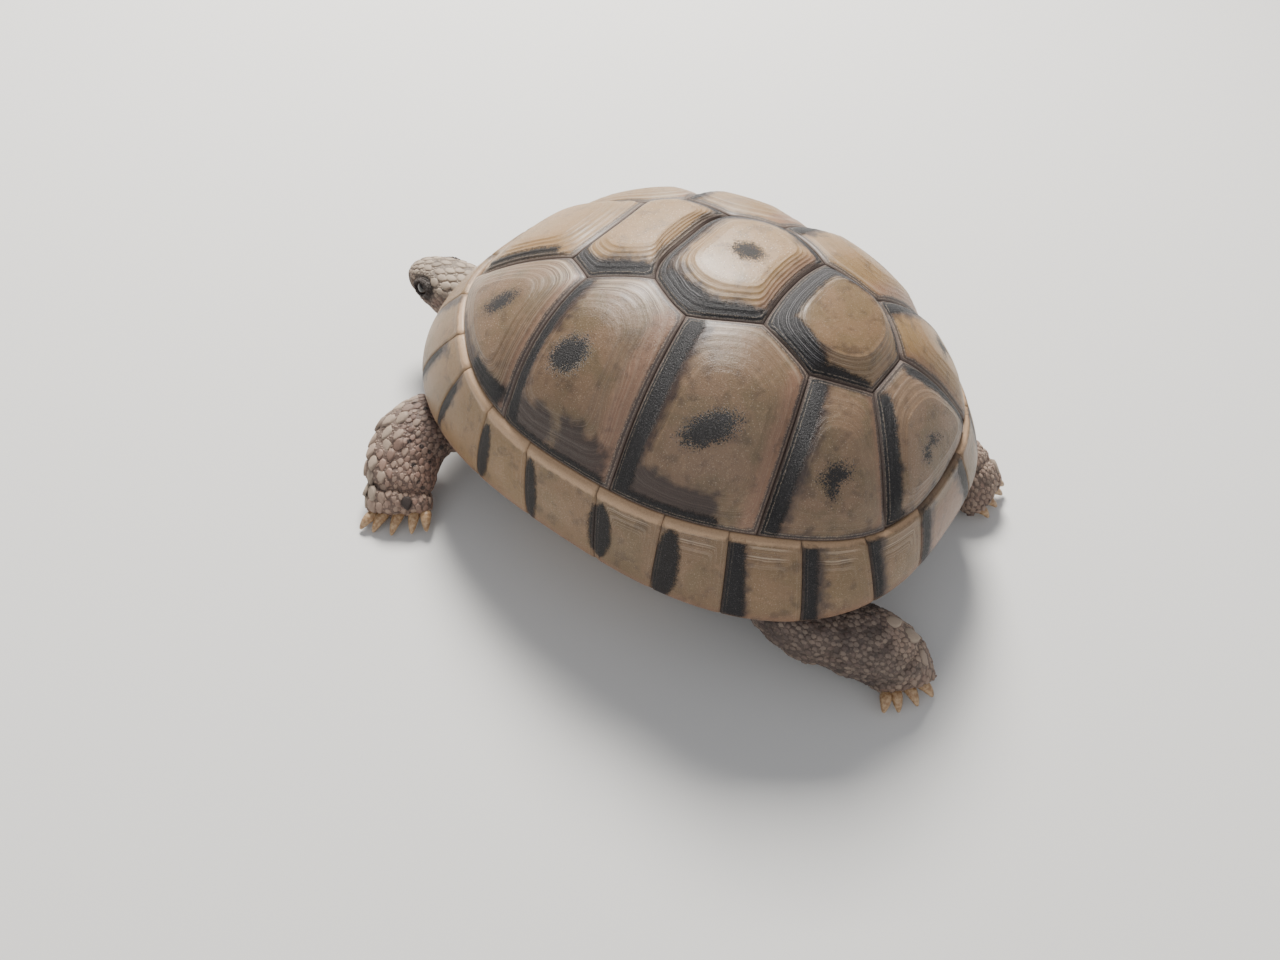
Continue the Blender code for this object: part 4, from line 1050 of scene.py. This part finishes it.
def skinLook(name, crease):
    look = Look(name)
    tone = skinColours
    mottle, grain = look.noise(0.8, 4, 0.6), look.noise(4.5, 3, 0.65)
    warm, pale, dark, dots = map(look.attribute, "warm pale dark dots".split())
    colour = look.mix(warm + (mottle - 0.5) * 0.6, tone["grey"], tone["rose"])
    colour = look.mix(pale + (mottle - 0.5) * 0.5 + (grain - 0.5) * 0.25, colour, tone["cream"])
    colour = look.mix(look.attribute("beak") * 0.8, colour, tone["horn"])
    dark = (dark * 0.9).high(look.cells(0.42).step(0.26, 0.16) * dots * 0.85)
    colour = look.mix(dark + (grain - 0.5) * 0.2, colour, tone["dark"])
    if crease:
        pebbles = look.cells(1.6, jitter=0.9)
        colour = look.mix(pebbles.step(0.25, 0.55) * 0.55, colour, tone["crease"])
        colour = look.mix(look.attribute("mouth"), colour, tone["dark"])
        bump = look.bump(pebbles.step(0.6, 0.1) + grain * 0.4, 0.25, 0.8)
    else:
        colour = look.mix(look.attribute("root") * (0.55 - dots * 0.2), colour, tone["crease"])
        colour = look.mix(grain.step(0.62, 0.75) * 0.18, colour, tone["cream"])
        bump = look.bump(grain * 0.6 + mottle * 0.4, 0.1, 0.7)
    return look.set(Base_Color=colour, Roughness=0.58 + grain * 0.2, Normal=bump, Specular_IOR_Level=0.4)


values = markings(place, normal)
values["mouth"] = mouthLine
bm = bmesh.new()
bm.from_mesh(skin)
finishPiece(bm, "skin", skinLook("tortoiseSkin", True), zoneNames, values)

# Eyes.
eyeLook = Look("eyeGloss")
iris = eyeLook.attribute("iris")
eyeLook.set(Base_Color=eyeLook.mix(iris, (0.003, 0.0025, 0.0025), (0.03, 0.016, 0.009)), Roughness=0.16,
            Specular_IOR_Level=0.25, Coat_Weight=0.35, Coat_Roughness=0.03)
for name, sign in (("left", 1), ("right", -1)):
    centre, look, ahead, above = eyeAxes(sign)
    bm = bmesh.new()
    bmesh.ops.create_uvsphere(bm, u_segments=48, v_segments=32, radius=1)
    turned = np.array([vert.co for vert in bm.verts])
    out = turned[:, 2]
    iris = smoothStep(out, 0.93, 0.9) * smoothStep(out, 0.6, 0.7)
    bulge = eyeShape["radius"] * (1 + 0.03 * smoothStep(out, 0.75, 0.95))
    moveVerts(bm.verts, centre + turned @ np.array((ahead, above, look)) * bulge[:, None])
    finishPiece(bm, "eye_" + name, eyeLook.material, ["eye_" + name], {"iris": iris})
print("eyes")

# Claws of each foot: how many, how long, the way the middle one points and how the others spread from it.
claws = {
    "foreleg_left": (5, 5.2, (0.8, 0.25, -0.3), (0.12, -0.38, 0.0)),
    "foreleg_right": (5, 5.2, (-0.12, -0.85, -0.26), (-0.38, 0.1, 0.0)),
    "hindleg_left": (4, 4.4, (0.4, 0.55, -0.2), (0.3, -0.24, 0.0)),
    "hindleg_right": (4, 4.4, (-0.42, 0.8, -0.25), (-0.34, -0.1, 0.0)),
}
# Thickness along a claw, from inside the toe to the tip.
clawProfile = ((-0.42, 1.0), (-0.1, 1.3), (0.15, 1.28), (0.4, 1.12), (0.65, 0.86), (0.86, 0.52), (0.97, 0.2))
bm = bmesh.new()
for name, (count, length, direction, spread) in claws.items():
    centre, wide, thick, along, across, up = (part[0] for part in tubes[name].at(np.array([1.0])))
    for i in range(count):
        turn = 1 - 2 * i / (count - 1)
        a, b = 2 * pi * (i + 0.5) / 12, 2 * pi * (i + 1.5) / 12
        base = centre + across * wide * (cos(a) + cos(b)) / 2 * 0.97
        way = unit(np.array(direction) + np.array(spread) * turn)
        reach = length * 0.74 * (1 - 0.22 * abs(turn))
        lift = np.array((0, 0, 1.0))
        sections = []
        for f, size in clawProfile:
            arch = 0.55 * (1 - (2 * f - 0.5) ** 2 * 0.9) if f > 0 else 0.35 + f * 0.5
            at = base + way * reach * f + lift * arch * 0.8
            at[2] = max(at[2], size * 0.8 + 0.05)
            sections.append((*at, size * 0.82, size * 0.72))
        Tube(sections, unit(np.cross(way, lift))).build(bm, 14, 22, roundFrom=0.9)
clawLook = Look("clawHorn")
streak = clawLook.noise(1.6, 4, 0.6)
clawLook.set(Base_Color=clawLook.mix(streak.step(0.35, 0.65), (0.27, 0.15, 0.07), (0.46, 0.31, 0.175)),
             Roughness=0.38 + streak * 0.1, Normal=clawLook.bump(clawLook.noise(5.0, 3), 0.08, 0.6))
finishPiece(bm, "claws", clawLook.material, [], {})
print("claws")


# Scales.
scaleShape = {"seed": 7, "tries": 150000, "overlap": 1.42, "patch": 0.003, "small": 1.25,
              "bareReach": 0.74, "trunkReach": 0.8, "bareHeight": 27}


def scaleTemplate(sides, flat, point):
    # A low shield lying along +X, its tip higher than its root; one unit long from middle to tip.
    bm = bmesh.new()
    bmesh.ops.create_circle(bm, cap_ends=True, segments=sides, radius=1.0)
    for vert in bm.verts:
        vert.co.y *= 1 - point * max(vert.co.x, 0)
    top = bm.faces[:]
    now = 1.0
    for draw, rise in ((0.84, 0.7), (flat, 1.0)):
        top = bmesh.ops.extrude_discrete_faces(bm, faces=top)["faces"]
        bmesh.ops.scale(bm, vec=(draw / now, draw / now, 1), verts=top[0].verts)
        now = draw
        for vert in top[0].verts:
            vert.co.z = rise
    bmesh.ops.poke(bm, faces=top)
    bmesh.ops.triangulate(bm, faces=bm.faces)
    bm.verts.index_update()
    verts = np.array([vert.co for vert in bm.verts])
    faces = np.array([[vert.index for vert in face.verts] for face in bm.faces])
    bm.free()
    return verts, faces


def joinCopies(name, template, roots, axes, size, uvs, values, look):
    # One mesh of many copies of the template, each turned, sized and with its own patch of the map.
    verts, faces = template
    length, width, height, lean = size
    x, y = verts[None, :, 0] * length[:, None], verts[None, :, 1] * width[:, None]
    above = verts[None, :, 2] > 0.01
    z = verts[None, :, 2] * height[:, None]
    z += above * (verts[None, :, 0] * 0.5 + 0.35) * (lean * length)[:, None]
    z -= ~above * (0.6 * height + 0.08 * length)[:, None] + y * y * 0.11 + x * x * 0.04
    place = sum((way[:, None] * part[..., None] for way, part in zip(axes, (x, y, z))), roots[:, None])
    place[..., 2] = np.maximum(place[..., 2], 0.03)
    count, each = len(roots), len(verts)
    place = (place.reshape(-1, 3) - boxMiddle) * 0.001
    corners = (faces[None] + (np.arange(count) * each)[:, None, None]).reshape(-1, 3)
    mesh = bpy.data.meshes.new(name)
    mesh.vertices.add(len(place))
    mesh.vertices.foreach_set("co", place.astype(np.float32).ravel())
    mesh.loops.add(corners.size)
    mesh.loops.foreach_set("vertex_index", corners.astype(np.int32).ravel())
    mesh.polygons.add(len(corners))
    mesh.polygons.foreach_set("loop_start", np.arange(0, corners.size, 3, dtype=np.int32))
    mesh.update(calc_edges=True)
    patch = (uvs[:, None] + verts[None, :, :2] * scaleShape["patch"] / 2).reshape(-1, 2)
    layer = mesh.uv_layers.new(name="OFBake")
    layer.data.foreach_set("uv", patch[corners.ravel()].astype(np.float32).ravel())
    mesh.polygons.foreach_set("use_smooth", np.ones(len(corners), bool))
    values = {key: np.repeat(data, each) if len(data) == count else data for key, data in values.items()}
    hang(mesh, name, look, [], values)


def scalePitch(place, normal, zone, t):
    # Distance between neighbouring scales, in millimetres.
    pitch = np.full(len(place), 1.0)
    for limb, front in ((foreLeft, (0.5, -0.86, 0.1)), (foreRight, (-0.5, -0.86, 0.1))):
        facing = smoothStep(normal @ np.array(front), 0.1, 0.6)
        large = facing * smoothStep(t, 0.35, 0.5) * (1 - 0.45 * smoothStep(t, 0.85, 1))
        outer = 0.84 + 0.34 * smoothStep(t, 0.42, 0.62) - 0.24 * smoothStep(t, 0.72, 0.8)
        pitch = np.where(zone == limb, outer + 1.4 * large + 0.25 * smoothStep(t, 0.88, 1), pitch)
    pitch = np.where((zone == hindLeft) | (zone == hindRight), 0.88 + 0.45 * smoothStep(t, 0.84, 0.97), pitch)
    f, side, up = headFrame(place)
    crownScales = 0.95 * smoothStep(up, 2.2, 4.4) * smoothStep(f, 0.98, 0.9)
    pitch = np.where(zone == head, 0.85 + crownScales + 0.25 * smoothStep(f, 0.5, 0.3), pitch)
    pitch = np.where((zone == head) & (up < -2.5), 0.75, pitch)
    pitch = np.where(zone == neck, 0.72, pitch)
    pitch = np.where(zone == tail, 0.95, pitch)
    for sign in (-1, 1):
        away = np.linalg.norm(place - eyeAxes(sign)[0], axis=1)
        pitch = np.where((zone == head) & (away < 3.6), 0.55, pitch)
    return pitch


def scatter(skin, place, normal):
    # Scale roots over the bare skin, no two nearer than their pitch.
    draw = np.random.default_rng(scaleShape["seed"])
    skin.calc_loop_triangles()
    tri = np.empty(len(skin.loop_triangles) * 3, np.int32)
    skin.loop_triangles.foreach_get("vertices", tri)
    tri = tri.reshape(-1, 3)
    middle = place[tri].mean(1)
    shell = outsideShell(middle)
    zone = zonesOf(middle)[0]
    tri = tri[(shell > np.where(zone < trunk, scaleShape["bareReach"], scaleShape["trunkReach"])) &
              (middle[:, 2] < scaleShape["bareHeight"])]
    sides = place[tri[:, 1:]] - place[tri[:, :1]]
    area = np.linalg.norm(np.cross(sides[:, 0], sides[:, 1]), axis=1)
    chosen = tri[draw.choice(len(tri), scaleShape["tries"], p=area / area.sum())]
    a, b = draw.random((2, len(chosen), 1))
    a, b = np.where(a + b > 1, 1 - a, a), np.where(a + b > 1, 1 - b, b)
    roots, ups = (corners[chosen[:, 0]] * (1 - a - b) + corners[chosen[:, 1]] * a + corners[chosen[:, 2]] * b
                  for corners in (place, normal))
    ups = unit(ups)
    zone, t, angle = zonesOf(roots)
    pitch = scalePitch(roots, ups, zone, t)
    free = np.ones(len(roots), bool)
    f, side, up = headFrame(roots)
    for sign in (-1, 1):
        centre, look, ahead, above = eyeAxes(sign)
        offset = roots - centre
        r = np.hypot((offset @ ahead) / eyeShape["open"][0], (offset @ above) / eyeShape["open"][1])
        free &= (zone != head) | (offset @ look <= 0.2) | (r >= 1.22)
    mouth = -1.75 + 0.9 * smoothStep(f, 0.62, 0.48)
    free &= (zone != head) | (f <= 0.8) | (up >= 1.6)
    free &= (zone != head) | (f <= 0.48) | (np.abs(up - mouth) >= 0.3)
    free &= roots[:, 2] > 0.3
    for limb, along, way, size in broad:
        first = np.linalg.norm(roots - tubes[limb].spot(along, way), axis=1).argmin()
        pitch[first] = size
        free[first] = True
    # The broadest first; a scale that would crowd one already there is left out.
    order = np.flatnonzero(free)
    order = order[np.argsort(-pitch[order], kind="stable")]
    cell = 0.8
    taken, kept = {}, []
    keys = np.floor(roots / cell).astype(int).tolist()
    spots = roots.tolist()
    for i in order.tolist():
        (x, y, z), (px, py, pz), own = keys[i], spots[i], float(pitch[i])
        span = int(own / cell) + 1
        steps = range(-span, span + 1)
        if not any((px - qx) ** 2 + (py - qy) ** 2 + (pz - qz) ** 2 < ((own + other) * 0.5) ** 2
                   for dx in steps for dy in steps for dz in steps
                   for qx, qy, qz, other in taken.get((x + dx, y + dy, z + dz), ())):
            taken.setdefault((x, y, z), []).append((px, py, pz, own))
            kept.append(i)
    kept = np.array(kept)
    return [data[kept] for data in (roots, ups, zone, t, angle, pitch)] + [draw]


# Broad scales on the heels, the forelegs and the left hand: limb, place along, way they face, size.
broad = [("hindleg_left", 0.71, (-0.35, 0.46, 0.8), 3.0), ("hindleg_left", 0.63, (-0.3, 0.3, 0.85), 2.6),
         ("hindleg_left", 0.8, (-0.1, 0.75, 0.6), 2.4), ("hindleg_right", 0.82, (-0.5, 0.5, 0.7), 2.7),
         ("hindleg_right", 0.92, (-0.6, 0.6, 0.5), 2.3), ("foreleg_left", 0.74, (0.3, -0.9, 0.2), 2.9),
         ("foreleg_left", 0.6, (0.3, -0.9, 0.3), 2.9), ("foreleg_left", 0.93, (0.4, 0.4, 0.75), 2.1),
         ("foreleg_right", 0.62, (-0.8, -0.4, 0.3), 2.9)]
roots, ups, zone, t, angle, pitch, draw = scatter(skin, place, normal)
print("scales: %d" % len(roots))
lie = np.zeros_like(roots)
for i, tube in enumerate(tubes.values()):
    here = zone == i
    lie[here] = tube.at(t[here])[3]
lie[zone == head] *= -1
lie[zone == trunk] = (0, 0, -1)
lie += draw.normal(0, 0.16, lie.shape)
lie = unit(lie - ups * (lie * ups).sum(1)[:, None])
across = np.cross(ups, lie)
tile = np.stack((zone % 4 * 0.25 + 0.01, zone // 4 * 0.5 + 0.01), -1)
uvs = tile + np.stack((angle / (2 * pi) % 1 * 0.23, t * 0.48), -1)
uneven = draw.random((4, len(roots)))
length = pitch * 0.5 * scaleShape["overlap"] * (0.92 + uneven[0] * 0.22)
width = pitch * 0.5 * 1.04 * (0.92 + uneven[1] * 0.2)
height = pitch * (0.085 + uneven[2] * 0.04) * np.where(zone < hindLeft, 0.75, 1.0)
lean = np.where(zone < neck, 0.07 + 0.1 * smoothStep(pitch, 1.2, 2.0), 0.06) + 0.04 * uneven[3]
lean = np.where(pitch > 2.35, 0.1, lean)
lean = np.where(zone == head, 0.02, lean)
scalesLook = skinLook("tortoiseScales", False)
values = markings(roots, ups)
values["pale"] = np.clip(values["pale"] + (uneven[3] - 0.5) * 0.35 + 0.35 * smoothStep(pitch, 2.0, 2.4), 0, 1)
small = pitch < scaleShape["small"]
for name, chosen, shape in (("scalesSmall", small, (6, 0.64, 0.15)), ("scalesLarge", ~small, (8, 0.6, 0.45))):
    template = scaleTemplate(*shape)
    picked = {key: data[chosen] for key, data in values.items()}
    picked["root"] = np.tile((template[0][:, 2] < 0.01) * 1.0, chosen.sum())
    joinCopies(name, template, roots[chosen], (lie[chosen], across[chosen], ups[chosen]),
               (length[chosen], width[chosen], height[chosen], lean[chosen]), uvs[chosen], picked, scalesLook)
print("scales joined")

# Floor, lights and camera.
stage = {"floorTone": (0.64, 0.63, 0.61), "floorSize": 30.0}
bm = bmesh.new()
bmesh.ops.create_grid(bm, x_segments=1, y_segments=1, size=stage["floorSize"] / 2)
mesh = bpy.data.meshes.new("floor")
bm.to_mesh(mesh)
bm.free()
floor = link("floor", mesh)
floor.data.materials.append(Look("paleFloor").set(Base_Color=stage["floorTone"], Roughness=0.85))

lights = {
    "key": {"at": (-0.33, -0.3, 0.52), "size": 0.2, "power": 13.0, "tone": (1.0, 0.975, 0.93)},
    "fill": {"at": (0.8, 0.2, 0.6), "size": 1.0, "power": 2.9, "tone": (0.97, 0.985, 1.0)},
    "rear": {"at": (0.1, 0.9, 0.5), "size": 0.8, "power": 1.2, "tone": (1.0, 1.0, 1.0)},
}
for name, light in lights.items():
    data = bpy.data.lights.new(name, "AREA")
    data.size, data.energy, data.color = light["size"], light["power"], light["tone"]
    lamp = link(name, data)
    lamp.location = light["at"]
    lamp.rotation_euler = (Vector((0, 0, 0.03)) - lamp.location).to_track_quat("-Z", "Y").to_euler()
world = bpy.data.worlds.new("softRoom")
world.use_nodes = True
world.node_tree.nodes["Background"].inputs["Color"].default_value = (0.9, 0.93, 1.0, 1)
world.node_tree.nodes["Background"].inputs["Strength"].default_value = 0.4
bpy.context.scene.world = world

view = {"azimuth": 121.6, "elevation": 48.11, "roll": 5.09, "distance": 0.18679,
        "target": (0.01598, 0.00542, 0.01741), "lens": 29.335}
a, e, r = (radians(view[key]) for key in ("azimuth", "elevation", "roll"))
back = Vector((sin(a) * cos(e), -cos(a) * cos(e), sin(e)))
right = (-back).cross(Vector((0, 0, 1))).normalized()
up = right.cross(-back)
right, up = right * cos(r) + up * sin(r), up * cos(r) - right * sin(r)
data = bpy.data.cameras.new("camera")
data.lens, data.sensor_width, data.clip_start, data.clip_end = view["lens"], 36.0, 0.01, 20.0
camera = link("camera", data)
camera.matrix_world = Matrix.Translation(Vector(view["target"]) + back * view["distance"]) @ Matrix(
    (right, up, back)).transposed().to_4x4()
bpy.context.scene.camera = camera
